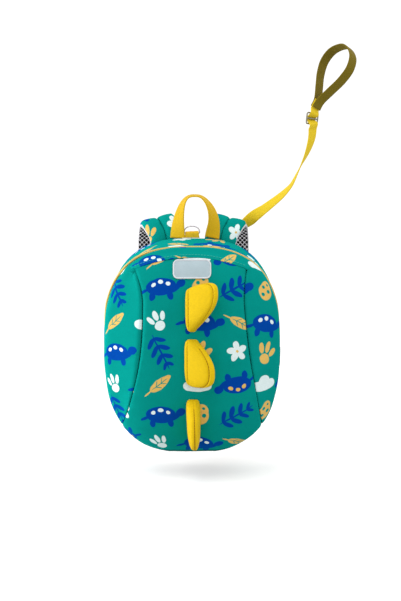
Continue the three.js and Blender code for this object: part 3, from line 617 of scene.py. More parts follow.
FOOTPRINT = [(0, -6, 7.4, 6.2, 0), (-8.6, 5, 3.3, 6.8, 24), (0, 8.4, 3.4, 7.4, 0), (8.6, 5, 3.3, 6.8, -24)]
EGG = [(0, -1, 10.5, 11.5, 0), (0, 4, 8.4, 10.5, 0)]
EGG_SPOTS = [(-4.4, 4, 2.4, 2.4, 0), (4, 0.5, 3, 2.8, 0), (1, 9.5, 1.9, 1.8, 0), (-3.2, -6, 2.7, 2.4, 0)]
LEAF = [(2, 0, 14, 5.6, 0), (8, 0.4, 10, 3.6, 0), (-15, -0.6, 6, 0.9, 6)]
LEAF_VEINS = [(2, 0, 12, 0.55, 0), (6, 2, 4, 0.5, 40), (6, -2, 4, 0.5, -40), (-1, 2.2, 4, 0.5, 40),
              (-1, -2.2, 4, 0.5, -40)]
CLOUD = [(-9.5, -0.5, 7.2, 6, 0), (0, 3.6, 8.6, 8, 0), (9.6, 0, 7.6, 6.4, 0), (0, -3.6, 15, 3.8, 0)]
BLOSSOM = [(0, 6.4, 3.6, 5.2, 0), (6.1, 2, 5.2, 3.6, 18), (3.8, -5.2, 3.6, 5.2, 36),
           (-3.8, -5.2, 3.6, 5.2, -36), (-6.1, 2, 5.2, 3.6, -18)]
BLOSSOM_EYE = [(0, 0, 3, 3, 0)]
# Each motif: its ovals, ink, middle in the repeat, turn and size.
PRINT_LAYOUT = [
    (TORTOISE, "cobalt", 25, 20, 4, 1.14), (SHELL_SPOTS, "white", 25, 20, 4, 1.14),
    (EGG, "apricot", 71, 22, -14, 0.95), (EGG_SPOTS, "ground", 71, 22, -14, 0.95),
    (FERN, "cobalt", 113, 21, 28, 1.08),
    (LEAF, "apricot", 22, 58, 38, 1.02), (LEAF_VEINS, "ground", 22, 58, 38, 1.02),
    (CLOUD, "white", 67, 58, 0, 0.98),
    (TORTOISE, "cobalt", 113, 60, 188, 1.08), (SHELL_SPOTS, "apricot", 113, 60, 188, 1.08),
    (FERN, "cobalt", 25, 97, -62, 1.04),
    (FOOTPRINT, "apricot", 69, 95, -22, 1.0),
    (BLOSSOM, "white", 113, 97, 10, 1.05), (BLOSSOM_EYE, "apricot", 113, 97, 10, 1.05),
    (FOOTPRINT, "white", 22, 132, 24, 0.86),
    (TORTOISE, "cobalt", 69, 130, -8, 1.16), (SHELL_SPOTS, "white", 69, 130, -8, 1.16),
    (LEAF, "apricot", 115, 131, -28, 0.95), (LEAF_VEINS, "ground", 115, 131, -28, 0.95),
]
# How sharply ink ends at an oval's edge, and how far and how finely that edge wanders.
INK_EDGE = 18.0
INK_WANDER, INK_WANDER_SCALE = 0.0022, 90.0

bag_print, print_in, print_out = node_group(
    "bag_print",
    {"Cloth": "NodeSocketVector", "Shift": "NodeSocketVector"},
    {"Color": "NodeSocketColor"},
)


def vector_maths(operation, *vectors):
    return node(bag_print, "ShaderNodeVectorMath", dict(enumerate(vectors)), operation=operation).outputs[0]


print_wander = node(bag_print, "ShaderNodeTexNoise",
                    {"Vector": print_in["Cloth"], "Scale": INK_WANDER_SCALE, "Detail": 1.0})
print_drift = vector_maths("SUBTRACT", print_wander.outputs["Color"], (0.5, 0.5, 0.5))
print_shifted = vector_maths("ADD", print_in["Cloth"], print_in["Shift"])
print_place = vector_maths("MULTIPLY_ADD", print_drift, (INK_WANDER, INK_WANDER, 0), print_shifted)
print_xy = node(bag_print, "ShaderNodeSeparateXYZ", {0: print_place}).outputs
print_drop = maths(bag_print, "FLOOR", maths(bag_print, "DIVIDE", print_xy["X"], PRINT_REPEAT[0]))
print_x = maths(bag_print, "WRAP", print_xy["X"], PRINT_REPEAT[0], 0.0)
print_fallen = maths(bag_print, "MULTIPLY_ADD", print_drop, PRINT_REPEAT[1] / 2, print_xy["Y"])
print_y = maths(bag_print, "WRAP", print_fallen, PRINT_REPEAT[1], 0.0)
print_cell = node(bag_print, "ShaderNodeCombineXYZ", {"X": print_x, "Y": print_y}).outputs[0]
print_millimetres = node(bag_print, "ShaderNodeMapping",
                         {"Vector": print_cell, "Scale": (1000, 1000, 1)}).outputs[0]


def placed(vector, x, y, turn, size_x, size_y):
    """Print coordinates about a middle, turned, and divided by a size."""
    values = {"Vector": vector, "Location": (x, y, 0), "Rotation": (0, 0, math.radians(turn)),
              "Scale": (size_x, size_y, 1)}
    return node(bag_print, "ShaderNodeMapping", values, vector_type="TEXTURE").outputs[0]


inks = {"cobalt": COBALT_INK, "apricot": APRICOT_INK, "white": WHITE_INK, "ground": GROUND_GREEN}
inside = {}
for ovals, ink, x, y, turn, size in PRINT_LAYOUT:
    motif = placed(print_millimetres, x, y, turn, size, size)
    for oval_x, oval_y, half_long, half_wide, oval_turn in ovals:
        oval = placed(motif, oval_x, oval_y, oval_turn, half_long, half_wide)
        dome = node(bag_print, "ShaderNodeTexGradient", {"Vector": oval}, gradient_type="SPHERICAL")
        depth = dome.outputs["Fac"]
        inside[ink] = maths(bag_print, "MAXIMUM", inside[ink], depth) if ink in inside else depth
print_colour = linear(*GROUND_GREEN)
for ink, colour in inks.items():
    sharp = maths(bag_print, "MULTIPLY", inside[ink], INK_EDGE)
    covered = node(bag_print, "ShaderNodeClamp", {"Value": sharp}).outputs[0]
    print_colour = blended(bag_print, covered, print_colour, linear(*colour))
bag_print.links.new(print_colour, print_out["Color"])

# Neoprene knit: fine level rows of loops over foam rubber, with a soft uneven nap. Shade is painted along
# the base: the colour darkens, between two heights above it, down to a share of its tone.
KNIT_ROW, KNIT_LOOP = 0.0012, 0.0016
BASE_SHADE_LOW, BASE_SHADE_HIGH, BASE_SHADE_TONE = 0.0020, 0.0062, 0.12
SHEEN_GREEN = (40, 240, 226)
knit, knit_in, knit_out = node_group(
    "neoprene_knit",
    {"Cloth": "NodeSocketVector"},
    {"Height": "NodeSocketFloat", "Tone": "NodeSocketFloat"},
)
knit_place = node(knit, "ShaderNodeSeparateXYZ", {0: knit_in["Cloth"]}).outputs
knit_rows = maths(knit, "SINE", maths(knit, "MULTIPLY", knit_place["Y"], 2 * math.pi / KNIT_ROW))
knit_loops = maths(knit, "SINE", maths(knit, "MULTIPLY", knit_place["X"], 2 * math.pi / KNIT_LOOP))
knit_nap = noise(knit, knit_in["Cloth"], 620.0)
knit_cloud = noise(knit, knit_in["Cloth"], 38.0, 3.0)
knit_relief = maths(knit, "MULTIPLY_ADD", knit_rows, 0.35, maths(knit, "MULTIPLY", knit_loops, 0.12))
knit.links.new(maths(knit, "ADD", knit_relief, knit_nap), knit_out["Height"])
knit_uneven = maths(knit, "MULTIPLY_ADD", knit_nap, 0.5, maths(knit, "MULTIPLY", knit_cloud, 0.5))
knit.links.new(maths(knit, "MULTIPLY_ADD", knit_rows, 0.10, knit_uneven), knit_out["Tone"])


def neoprene_finish(name, shift):
    """Knit-faced neoprene, with its own place in the print."""
    material, tree, shader = new_finish(name, 0.68, gloss=0.0)
    shader.inputs["Sheen Weight"].default_value = 0.15
    shader.inputs["Sheen Tint"].default_value = linear(*SHEEN_GREEN)
    cloth = flat_cloth(tree)
    loops = node(tree, "ShaderNodeGroup", {"Cloth": cloth}, node_tree=knit)
    motifs = node(tree, "ShaderNodeGroup", {"Cloth": cloth, "Shift": (*shift, 0)}, node_tree=bag_print)
    worn = node(tree, "ShaderNodeMapRange",
                {"Value": loops.outputs["Tone"], 1: 0.2, 2: 0.8, 3: 0.84, 4: 1.06})
    # Painted shade: the colour darkens towards the base of the bag, by the point's height.
    level = node(tree, "ShaderNodeSeparateXYZ", {0: object_place(tree)}).outputs["Z"]
    base_shade = node(tree, "ShaderNodeMapRange",
                 {"Value": level, 1: EGG_BASE_LEVEL + BASE_SHADE_LOW, 2: EGG_BASE_LEVEL + BASE_SHADE_HIGH,
                  3: BASE_SHADE_TONE, 4: 1.0})
    tone = maths(tree, "MULTIPLY", worn.outputs[0], base_shade.outputs[0])
    shade = node(tree, "ShaderNodeVectorMath", {0: motifs.outputs["Color"], 1: tone}, operation="MULTIPLY")
    tree.links.new(shade.outputs[0], shader.inputs["Base Color"])
    raise_surface(tree, shader, loops.outputs["Height"], 0.00022, 0.55)
    return material


fit(front_panel, neoprene_finish("front_neoprene", (0.061, 0.098)), "printed_neoprene", "front_panel")


# Rim panel: the printed horseshoe between the front panel and the piping. Its lower edge laps the top seam
# and is topstitched there, and it rolls into the side seams.
RIM_START_ABOVE = 0.0012
RIM_SIDE_SHARE = 0.36
RIM_FLAT, RIM_SEAM_TURN, RIM_EDGE_TURN = 0.65, 16, 4
TOP_LAP, TOP_LAP_RAISE = 0.0016, 0.0010
TOP_LAP_REACH, TOP_LAP_EASE = 0.012, 0.02
TOP_LAP_ROLL = {"width": 0.0016, "depth": 0.0007}
PIPED_ROLL = {"width": 0.0040, "depth": 0.0014}
RIM_SWELL, RIM_SWELL_SCALE = 0.0005, 0.022
STITCH_FROM, STITCH_TO, STITCH_ABOVE, STITCH_LIFT = -0.068, 0.063, 0.0016, 0.0008
STITCH_GREEN = (70, 196, 178)

rim_u = np.unique(np.concatenate([np.linspace(0, 1, 230), [RIM_SIDE_SHARE, 1 - RIM_SIDE_SHARE]]))
rim_v = spaced(16, 0.16)


def rim_seam(u):
    """The rim panel's inner edge, up one side seam, along the top seam and down the other side."""
    low = SIDE_LOWEST + RIM_START_ABOVE
    side_z = low + (SEAM_CORNER - TOP_LAP - low) * np.minimum(u, 1 - u) / RIM_SIDE_SHARE
    left, right = (SIDE_SEAMS[sign][0] + SEAM_HALF_GAP for sign in (-1, 1))
    top_x = (u - RIM_SIDE_SHARE) / (1 - 2 * RIM_SIDE_SHARE) * (left + right) - left
    ends = [u < RIM_SIDE_SHARE, u > 1 - RIM_SIDE_SHARE]
    side_x = [sign * (side_seam(side_z, sign) + SEAM_HALF_GAP) for sign in (-1, 1)]
    return np.select(ends, side_x, top_x), np.select(ends, [side_z, side_z], top_seam(top_x) - TOP_LAP)


rim_disc = np.stack(disc_at(*rim_seam(rim_u)), axis=-1)[:, None]
rim_reach = np.linalg.norm(rim_disc, axis=-1, keepdims=True)
rim_disc = rim_disc / rim_reach * (rim_reach + (1 - rim_reach) * rim_v[None, :, None])
rim_points = dome_point(rim_disc[..., 0], rim_disc[..., 1])
rim_out = np.hypot(rim_points[..., 0], rim_points[..., 2])
rim_share = (rim_out - rim_out[:, :1]) / (rim_out[:, -1:] - rim_out[:, :1])
rim_pull = RIM_FLAT * (1 - (1 - rim_share) ** RIM_SEAM_TURN) * (1 - rim_share ** RIM_EDGE_TURN)
rim_chord = rim_points[:, :1, 1] + (rim_points[:, -1:, 1] - rim_points[:, :1, 1]) * rim_share
rim_points[..., 1] += rim_pull * (rim_chord - rim_points[..., 1])
rim_normals = grid_normals(rim_points, rim_points * (1, 0, 1) - (0, 0.1, 0))
from_seam = reach_along(rim_points, 1)
from_piping = from_seam[:, -1:] - from_seam
past_side = 0.5 - np.abs(rim_u - 0.5) - RIM_SIDE_SHARE
on_top = np.clip(past_side / TOP_LAP_EASE + 0.5, 0, 1)[:, None]
lapped = TOP_LAP_RAISE * np.clip(1 - from_seam / TOP_LAP_REACH, 0, 1) - roll_in(from_seam, **TOP_LAP_ROLL)
rim_sink = side_sink(from_seam, rim_points[..., 2]) * (1 - on_top) + roll_in(from_piping, **PIPED_ROLL)
rim_swell = ripple(rim_points[..., 0], rim_points[..., 2], RIM_SWELL_SCALE)
rim_lift = RIM_SWELL * rim_swell - rim_sink + on_top * lapped
rim_panel = make_piece("rim_panel_neoprene", rim_points + rim_lift[..., None] * rim_normals,
                       skin(len(rim_u), len(rim_v)), dome_flat(rim_disc[..., 0], rim_disc[..., 1]),
                       behind=INSIDE_BAG)
thicken(rim_panel, NEOPRENE_THICK)
fit(rim_panel, neoprene_finish("rim_neoprene", (0.118, 0.027)), "printed_neoprene", "rim_panel")


def stitch_row(name, route, normals, finish, slot, length=0.0026, pitch=0.0036, radius=0.00034):
    """A row of thread stitches along a route, each a short round-ended thread half sunk in the cloth."""
    far = distance_along(route)
    starts = np.arange(pitch / 2, far[-1] - length, pitch)
    rounds = round_angles(6)
    profile = [(0, 0.25), (0.12, 0.8), (0.5, 1.0), (0.88, 0.8), (1, 0.25)]
    points, faces = [], []
    for start in starts:
        at = np.array([start + share * length for share, _ in profile])
        middle = np.stack([np.interp(at, far, route[:, k]) for k in range(3)], axis=1)
        up = unit(np.stack([np.interp(at, far, normals[:, k]) for k in range(3)], axis=1))
        beside = unit(np.cross(up, middle[-1] - middle[0]))
        faces += tube_faces(len(profile), len(rounds), len(points))
        for (_, full), m, n, b in zip(profile, middle, up, beside):
            points.extend(m + radius * full * (math.cos(a) * b + 0.8 * math.sin(a) * n) for a in rounds)
    return fit(make_piece(name, points, faces), finish, slot)


def thread_finish(name, colour):
    """Twisted sewing thread."""
    material, tree, shader = new_finish(name, 0.55)
    ply = noise(tree, object_place(tree), 2400.0, 1.0)
    tree.links.new(blended(tree, ply, shaded(colour, 0.7), shaded(colour)), shader.inputs["Base Color"])
    raise_surface(tree, shader, ply, 0.0001, 0.5)
    return material


green_thread = thread_finish("green_thread", STITCH_GREEN)
top_stitch_x = np.linspace(STITCH_FROM, STITCH_TO, 140)
top_stitch, top_stitch_up = on_front(top_stitch_x, top_seam(top_stitch_x) + STITCH_ABOVE, STITCH_LIFT)
stitch_row("top_seam_stitches", top_stitch, top_stitch_up, green_thread, "printed_neoprene")


# Piping: cord covered in apricot cloth, caught in the seam between the side wall and the domed front. It
# stands proud over the top and sinks behind the bulging rim at the sides.
PIPING_RADIUS, PIPING_GIRTH = 0.0015, 0.009
PIPING_STEPS, PIPING_SIDES = 260, 12
# The heights, as a sine, from the sides to the shoulders and from them to the top.
PIPING_LEVELS = (0.1, 0.45, 0.85, 0.98)
PIPING_PROUD = {"top": 0.0008, "left": 0.0024, "right": 0.0013, "sides": -0.0010}
APRICOT_CLOTH = (226, 190, 106)
piping_angle = round_angles(PIPING_STEPS)


def piping_stand(shoulder):
    proud = [PIPING_PROUD[place] for place in ("sides", shoulder, shoulder, "top")]
    return np.interp(np.sin(piping_angle), PIPING_LEVELS, proud)


piping_proud = np.where(np.cos(piping_angle) < 0, piping_stand("left"), piping_stand("right"))
piping_rings = []
for turn in round_angles(PIPING_SIDES):
    edge_x, edge_z = egg_outline(piping_angle, piping_proud - PIPING_RADIUS + PIPING_RADIUS * math.cos(turn))
    depth = np.full_like(edge_x, -SIDE_DEPTH + PIPING_RADIUS * math.sin(turn))
    piping_rings.append(np.stack([edge_x, depth, edge_z], axis=-1))
piping_points = np.stack(piping_rings, axis=1)
piping_far = reach_along(piping_points, 0)
piping_round = np.broadcast_to(np.linspace(0, PIPING_GIRTH, PIPING_SIDES), piping_far.shape)
piping = make_piece("piping_cord", piping_points, skin(PIPING_STEPS, PIPING_SIDES, True, True),
                    np.stack([piping_round, piping_far], axis=-1))


def plain_cloth_finish(name, colour, thread):
    """Plain woven cloth in one colour."""
    return woven_finish(name, colour, thread, relief=0.0002, strength=0.6, gap_shade=0.84,
                        roughness=0.75, gloss=0.1)


fit(piping, plain_cloth_finish("piping_cloth", APRICOT_CLOTH, 0.0006), "piping_cord", "piping")


# Side wall: neoprene strips round the outline, two upper ones whose lips meet over the zip and one along the
# base. They are sewn to the piping in front, lap the edge of the back panel behind, and roll into both seams.
BACK_THICK = 0.006
WALL_THICK, WALL_SWELL = 0.003, 0.0007
WALL_ROLL = {"width": 0.0035, "depth": 0.0012}
WALL_STEPS, BASE_STEPS, BASE_GAP_DEGREES = 180, 150, 0.15
SEAM_GAP = 0.0003
ZIP_MIDDLE, ZIP_WIDTH = 0.050, 0.0094
ZIP_START = -16
LIP_THICK, LIP_HALF_GAP = 0.0014, 0.0005
BACK_HEM = 0.0008


def wall_piece(name, from_degrees, to_degrees, section, steps):
    """A closed strip round the outline. The section's points are (depth, outset, distance over the cloth)."""
    angle = np.radians(np.linspace(from_degrees, to_degrees, steps + 1))
    rings = []
    for depth, outset, _ in section:
        edge_x, edge_z = egg_outline(angle, outset, depth)
        rings.append(np.stack([edge_x, np.full_like(edge_x, -depth), edge_z], axis=-1))
    points = np.stack(rings, axis=1)
    far = reach_along(points[:, :1], 0)
    over = np.array([row[2] for row in section])
    cloth = np.stack(np.broadcast_arrays(far, over[None]), axis=-1)
    return make_piece(name, points, tube_faces(steps + 1, len(section)), cloth)


def wall_section(near, far, lip_near=0.0, lip_far=0.0):
    """Cloth from one depth to another, full in the middle and rolled in at its edges. A lip is thinner."""
    width = far - near
    rows = []
    for share in spaced(9, 0.2, 4):
        to_edge = min(share, 1 - share) * width
        outset = WALL_SWELL * math.sin(math.pi * share) - float(roll_in(to_edge, **WALL_ROLL))
        rows.append((near + share * width, outset, share * width))
    inside = [(far, LIP_THICK), (far - lip_far, LIP_THICK)] if lip_far else []
    inside += [(far - lip_far, WALL_THICK), (near + lip_near, WALL_THICK)]
    inside += [(near + lip_near, LIP_THICK), (near, LIP_THICK)] if lip_near else []
    return rows + [(depth, -thick, depth - near) for depth, thick in inside]


wall_front = SIDE_DEPTH - PIPING_RADIUS
back_lip = BACK_THICK + SEAM_GAP - BACK_HEM
zip_back, zip_front = ZIP_MIDDLE - ZIP_WIDTH / 2, ZIP_MIDDLE + ZIP_WIDTH / 2
lip = ZIP_WIDTH / 2 + SEAM_GAP - LIP_HALF_GAP
wall_finish = neoprene_finish("wall_neoprene", (0.020, 0.012))
gusset_back = wall_piece("gusset_back_neoprene", ZIP_START, 180 - ZIP_START,
                         wall_section(BACK_HEM, ZIP_MIDDLE - LIP_HALF_GAP, back_lip, lip), WALL_STEPS)
gusset_front = wall_piece("gusset_front_neoprene", ZIP_START, 180 - ZIP_START,
                          wall_section(ZIP_MIDDLE + LIP_HALF_GAP, wall_front, lip_near=lip), WALL_STEPS)
gusset_base = wall_piece("gusset_base_neoprene", 180 - ZIP_START + BASE_GAP_DEGREES,
                         360 + ZIP_START - BASE_GAP_DEGREES,
                         wall_section(BACK_HEM, wall_front, back_lip), BASE_STEPS)
fit(gusset_back, wall_finish, "printed_neoprene", "gusset_back")
fit(gusset_front, wall_finish, "printed_neoprene", "gusset_front")
fit(gusset_base, wall_finish, "printed_neoprene", "gusset_base")


# Zip: woven tape under the lips of the two upper strips of the side wall, with a nylon coil along its middle.
# Its plain pull lies over the lips at the lower right end.
# The tape, coil and pull are dark green: partly their own colour and partly painted shade behind the piping.
ZIP_GREEN = (16, 104, 94)
COIL_DARK, COIL_LIGHT = (12, 92, 82), (20, 116, 104)
ZIP_SINK, ZIP_TAPE_THICK = 0.0027, 0.0008
COIL_RISE = 0.0006
TOOTH_PITCH, TOOTH_START, TOOTH_ASIDE = 0.0016, 0.001, 0.0007
TOOTH_HALF = {"across": 0.0021, "along": 0.0005, "up": 0.0005}
TOOTH_ENDS = [(-1, 0.5), (-0.7, 1), (0.7, 1), (1, 0.5)]
zip_under = -ZIP_SINK - ZIP_TAPE_THICK
zip_section = [(zip_back, -ZIP_SINK, 0), (ZIP_MIDDLE, -ZIP_SINK, ZIP_WIDTH / 2),
               (zip_front, -ZIP_SINK, ZIP_WIDTH), (zip_front, zip_under, ZIP_WIDTH), (zip_back, zip_under, 0)]
zip_tape = wall_piece("zip_tape", ZIP_START, 180 - ZIP_START, zip_section, WALL_STEPS)
fit(zip_tape, plain_cloth_finish("zip_tape_cloth", ZIP_GREEN, 0.0006), "zip_nylon", "zip_closure")


def coil_place(angle):
    edge_x, edge_z = egg_outline(angle, COIL_RISE - ZIP_SINK, ZIP_MIDDLE)
    return np.stack([edge_x, np.full_like(edge_x, -ZIP_MIDDLE), edge_z], axis=-1)


fine_angle = np.radians(np.linspace(ZIP_START + 1, 179 - ZIP_START, 4000))
fine_far = reach_along(coil_place(fine_angle), 0)
tooth_angle = np.interp(np.arange(TOOTH_START, fine_far[-1], TOOTH_PITCH), fine_far, fine_angle)
tooth_middle = coil_place(tooth_angle)
tooth_along = unit(coil_place(tooth_angle + 0.002) - tooth_middle)
tooth_out = np.cross(tooth_along, BACKWARD)
tooth_points, tooth_faces = [], []
tooth_round = round_angles(6)
for k, (middle, along, out) in enumerate(zip(tooth_middle, tooth_along, tooth_out)):
    middle = middle + (TOOTH_ASIDE if k % 2 else -TOOTH_ASIDE) * BACKWARD
    tooth_faces += tube_faces(len(TOOTH_ENDS), len(tooth_round), len(tooth_points))
    for reach, full in TOOTH_ENDS:
        tooth_points.extend(middle + reach * TOOTH_HALF["across"] * BACKWARD
                            + full * TOOTH_HALF["along"] * math.cos(a) * along
                            + full * TOOTH_HALF["up"] * math.sin(a) * out for a in tooth_round)
zip_teeth = make_piece("zip_coil", tooth_points, tooth_faces)
coil_finish, coil_tree, coil_shader = new_finish("zip_coil_nylon", 0.4, gloss=0.4)
coil_haze = noise(coil_tree, object_place(coil_tree), 900.0)
coil_tree.links.new(blended(coil_tree, coil_haze, linear(*COIL_DARK), linear(*COIL_LIGHT)),
                    coil_shader.inputs["Base Color"])
raise_surface(coil_tree, coil_shader, coil_haze, 0.00008, 0.4)
fit(zip_teeth, coil_finish, "zip_nylon")

PULL_FROM, PULL_TO = -14.0, -2.0
PULL_HALF_WIDTH, PULL_HALF_THICK, PULL_RISE = 0.003, 0.0006, 0.0010
pull_share = np.linspace(0, 1, 29)
pull_angle = np.radians(PULL_FROM + (PULL_TO - PULL_FROM) * pull_share)
pull_x, pull_z = egg_outline(pull_angle, PULL_RISE, ZIP_MIDDLE)
pull_middles = np.stack([pull_x, np.full_like(pull_x, -ZIP_MIDDLE), pull_z], axis=-1)
pull_out = np.cross(unit(np.gradient(pull_middles, axis=0)), BACKWARD)
pull_ends = np.clip(1 - np.abs(2 * pull_share - 1) ** 9, 0.25, 1)
pull_width = PULL_HALF_WIDTH * pull_ends * (0.8 + 0.2 * pull_share)
pull_round = webbing_section(2, 2, 20, 4)
pull_points = (pull_middles[:, None] + (pull_width[:, None] * pull_round[None, :, 0])[..., None] * BACKWARD
               + (PULL_HALF_THICK * pull_round[None, :, 1])[..., None] * pull_out[:, None])
zip_pull = make_piece("zip_pull_tab", pull_points, tube_faces(len(pull_share), len(pull_round)))
fit(zip_pull, coil_finish, "zip_nylon", "zip_pull")


# Back panel: foam covered in grey spacer mesh, which lies on the wearer's back. Two upright seams quilt it in
# three channels, and it is turned in along its edge.
MESH_LIGHT, MESH_DARK = (212, 211, 215), (16, 16, 20)
MESH_CELL = 0.0126
BACK_INSET, BACK_FACE, BACK_STEPS = -0.0019, 0.0002, 180
BACK_ROLL = {"width": 0.006, "depth": 0.0030}
QUILT_ASIDE, QUILT_SINK, QUILT_SPREAD, QUILT_END = 0.031, 0.0022, 0.0028, 0.985
BACK_SINK_MOST = 0.0034
# Depth and inset down the turned edge.
BACK_EDGE = ((0.0050, 0.0002), (BACK_THICK, 0.0014))
back_angle = round_angles(BACK_STEPS)
back_shares = np.concatenate([np.linspace(0, 0.94, 40)[1:], [0.96, 0.975, 0.986, 0.994, 1.0]])
back_rings = []
for share in back_shares:
    edge_x, edge_z = egg_outline(back_angle, BACK_INSET, 0)
    edge_reach = np.hypot(edge_x, edge_z) * (1 - share)
    x, z = edge_x * share, edge_z * share
    quilted = QUILT_SINK * np.exp(-((np.abs(x) - QUILT_ASIDE) / QUILT_SPREAD) ** 2) * (share < QUILT_END)
    sunk = roll_in(edge_reach, **BACK_ROLL) + quilted
    back_rings.append(np.stack([x, -BACK_FACE - np.minimum(sunk, BACK_SINK_MOST), z], axis=-1))
for depth, inset in BACK_EDGE:
    edge_x, edge_z = egg_outline(back_angle, BACK_INSET - inset, depth)
    back_rings.append(np.stack([edge_x, np.full_like(edge_x, -depth), edge_z], axis=-1))
back_points = np.stack(back_rings)
rows = len(back_rings)
back_faces = skin(rows, BACK_STEPS, False, True)
back_faces += [[rows * BACK_STEPS, k, (k + 1) % BACK_STEPS] for k in range(BACK_STEPS)]
back_faces.append([(rows - 1) * BACK_STEPS + k for k in range(BACK_STEPS)])
back_points = np.vstack([back_points.reshape(-1, 3), [[0, -BACK_FACE, 0]]])
back_panel = make_piece("back_panel_mesh", back_points, back_faces, back_points[:, [0, 2]])

air_mesh, mesh_in, mesh_out = node_group(
    "spacer_mesh",
    {"Cloth": "NodeSocketVector", "Cell": "NodeSocketFloat"},
    {"Height": "NodeSocketFloat", "Hole": "NodeSocketFloat"},
)
mesh_place = node(air_mesh, "ShaderNodeSeparateXYZ", {0: mesh_in["Cloth"]}).outputs
mesh_waves = []
for operation in ("ADD", "SUBTRACT"):
    slanted = maths(air_mesh, operation, mesh_place["X"], mesh_place["Y"])
    cells = maths(air_mesh, "DIVIDE", slanted, mesh_in["Cell"])
    mesh_waves.append(maths(air_mesh, "SINE", maths(air_mesh, "MULTIPLY", cells, 2 * math.pi)))
mesh_net = maths(air_mesh, "ABSOLUTE", maths(air_mesh, "MULTIPLY", *mesh_waves))
mesh_hole = node(air_mesh, "ShaderNodeMapRange", {"Value": mesh_net, 1: 0.14, 2: 0.34}).outputs[0]
mesh_fibre = noise(air_mesh, mesh_in["Cloth"], 900.0)
mesh_solid = maths(air_mesh, "SUBTRACT", 1.0, mesh_hole)
air_mesh.links.new(mesh_hole, mesh_out["Hole"])
air_mesh.links.new(maths(air_mesh, "MULTIPLY_ADD", mesh_fibre, 0.3, mesh_solid), mesh_out["Height"])


def mesh_finish(name):
    """Grey spacer mesh, dark in its holes."""
    material, tree, shader = new_finish(name, 0.8)
    net = node(tree, "ShaderNodeGroup", {"Cloth": flat_cloth(tree), "Cell": MESH_CELL}, node_tree=air_mesh)
    tree.links.new(blended(tree, net.outputs["Hole"], linear(*MESH_LIGHT), linear(*MESH_DARK)),
                   shader.inputs["Base Color"])
    raise_surface(tree, shader, net.outputs["Height"], 0.0006, 0.8)
    return material


fit(back_panel, mesh_finish("back_spacer_mesh"), "air_mesh", "back_panel")


# Shoulder straps: printed neoprene over foam, grey spacer mesh underneath, with a sewn channel down the
# middle that makes two stuffed lobes. The edges are bound in white tape. Each row is a point on the middle of
# the right strap, the strap's width there and how far its lobes stand up.
STRAP_ROWS = [
    (0.0300, 0.0060, 0.1000, 0.0370, 0.0040),
    (0.0308, 0.0064, 0.1140, 0.0380, 0.0044),
    (0.0338, 0.0095, 0.1305, 0.0395, 0.0050),
    (0.0388, 0.0180, 0.1402, 0.0410, 0.0052),
    (0.0430, 0.0300, 0.1442, 0.0420, 0.0052),
    (0.0455, 0.0430, 0.1402, 0.0420, 0.0052),
    (0.0470, 0.0540, 0.1282, 0.0420, 0.0052),
    (0.0480, 0.0620, 0.1040, 0.0420, 0.0052),
    (0.0485, 0.0670, 0.0640, 0.0420, 0.0052),
    (0.0495, 0.0680, 0.0200, 0.0410, 0.0052),
    (0.0530, 0.0640, -0.0240, 0.0380, 0.0050),
    (0.0580, 0.0540, -0.0600, 0.0300, 0.0040),
]
STRAP_STEPS = 84
STRAP_EDGE, STRAP_OUTSIDE, STRAP_UNDERSIDE = 0.0012, 0.92, 0.35
STRAP_PRINT_STRETCH = 1.15
STRAP_ROLL = math.radians(14)
STRAP_LOBE_ROUND = 0.18
STRAP_SHIFT = {"left": 0.0, "right": 0.0036}
BINDING_INSET, BINDING_WIDTH, BINDING_THICK = 0.0004, 0.0022, 0.0028
BINDING_WHITE = (212, 210, 214)
STUFFING_FRAMES = 20
strap_table = np.array(STRAP_ROWS)
lobe_shares = (1 - np.cos(np.linspace(0, math.pi, 15))) / 2
strap_shares = np.concatenate([lobe_shares - 1, lobe_shares[1:]])


def stuff(piece, pinned, pressure, slack, cap):
    """Swells a closed cloth piece as stuffing does. Sewn points stay, and none moves further than the cap."""
    count = len(piece.data.vertices)
    before = np.empty(3 * count)
    piece.data.vertices.foreach_get("co", before)
    before = before.reshape(-1, 3)
    sewn = piece.vertex_groups.new(name="sewn")
    sewn.add([int(k) for k in pinned], 1.0, "ADD")
    filling = piece.modifiers.new("stuffing", "CLOTH")
    filling.settings.vertex_group_mass = "sewn"
    filling.settings.use_pressure = True
    filling.settings.uniform_pressure_force = pressure
    filling.settings.effector_weights.gravity = 0
    filling.settings.shrink_min = -slack
    filling.settings.bending_stiffness = 0.4
    filling.point_cache.frame_start = 1
    filling.point_cache.frame_end = STUFFING_FRAMES
    for number in range(1, STUFFING_FRAMES + 1):
        bpy.context.scene.frame_set(number)
    swollen = piece.evaluated_get(bpy.context.evaluated_depsgraph_get()).data
    after = np.empty(3 * count)
    swollen.vertices.foreach_get("co", after)
    piece.modifiers.remove(filling)
    bpy.context.scene.frame_set(1)
    moved = after.reshape(-1, 3) - before
    far = np.linalg.norm(moved, axis=1, keepdims=True)
    moved = moved * np.minimum(1, cap / np.maximum(far, 1e-9))
    piece.data.vertices.foreach_set("co", (before + moved).ravel())
    piece.data.update()


def strap_course(side, sign):
    """The middle of a strap, its places in the table, the distance along it, and which way its width lies."""
    level = np.array([math.cos(STRAP_ROLL), 0, -sign * math.sin(STRAP_ROLL)])
    route = (strap_table[:, :3] + (STRAP_SHIFT[side], 0, 0)) * (sign, 1, 1)
    return *smooth_route(route, STRAP_STEPS), level


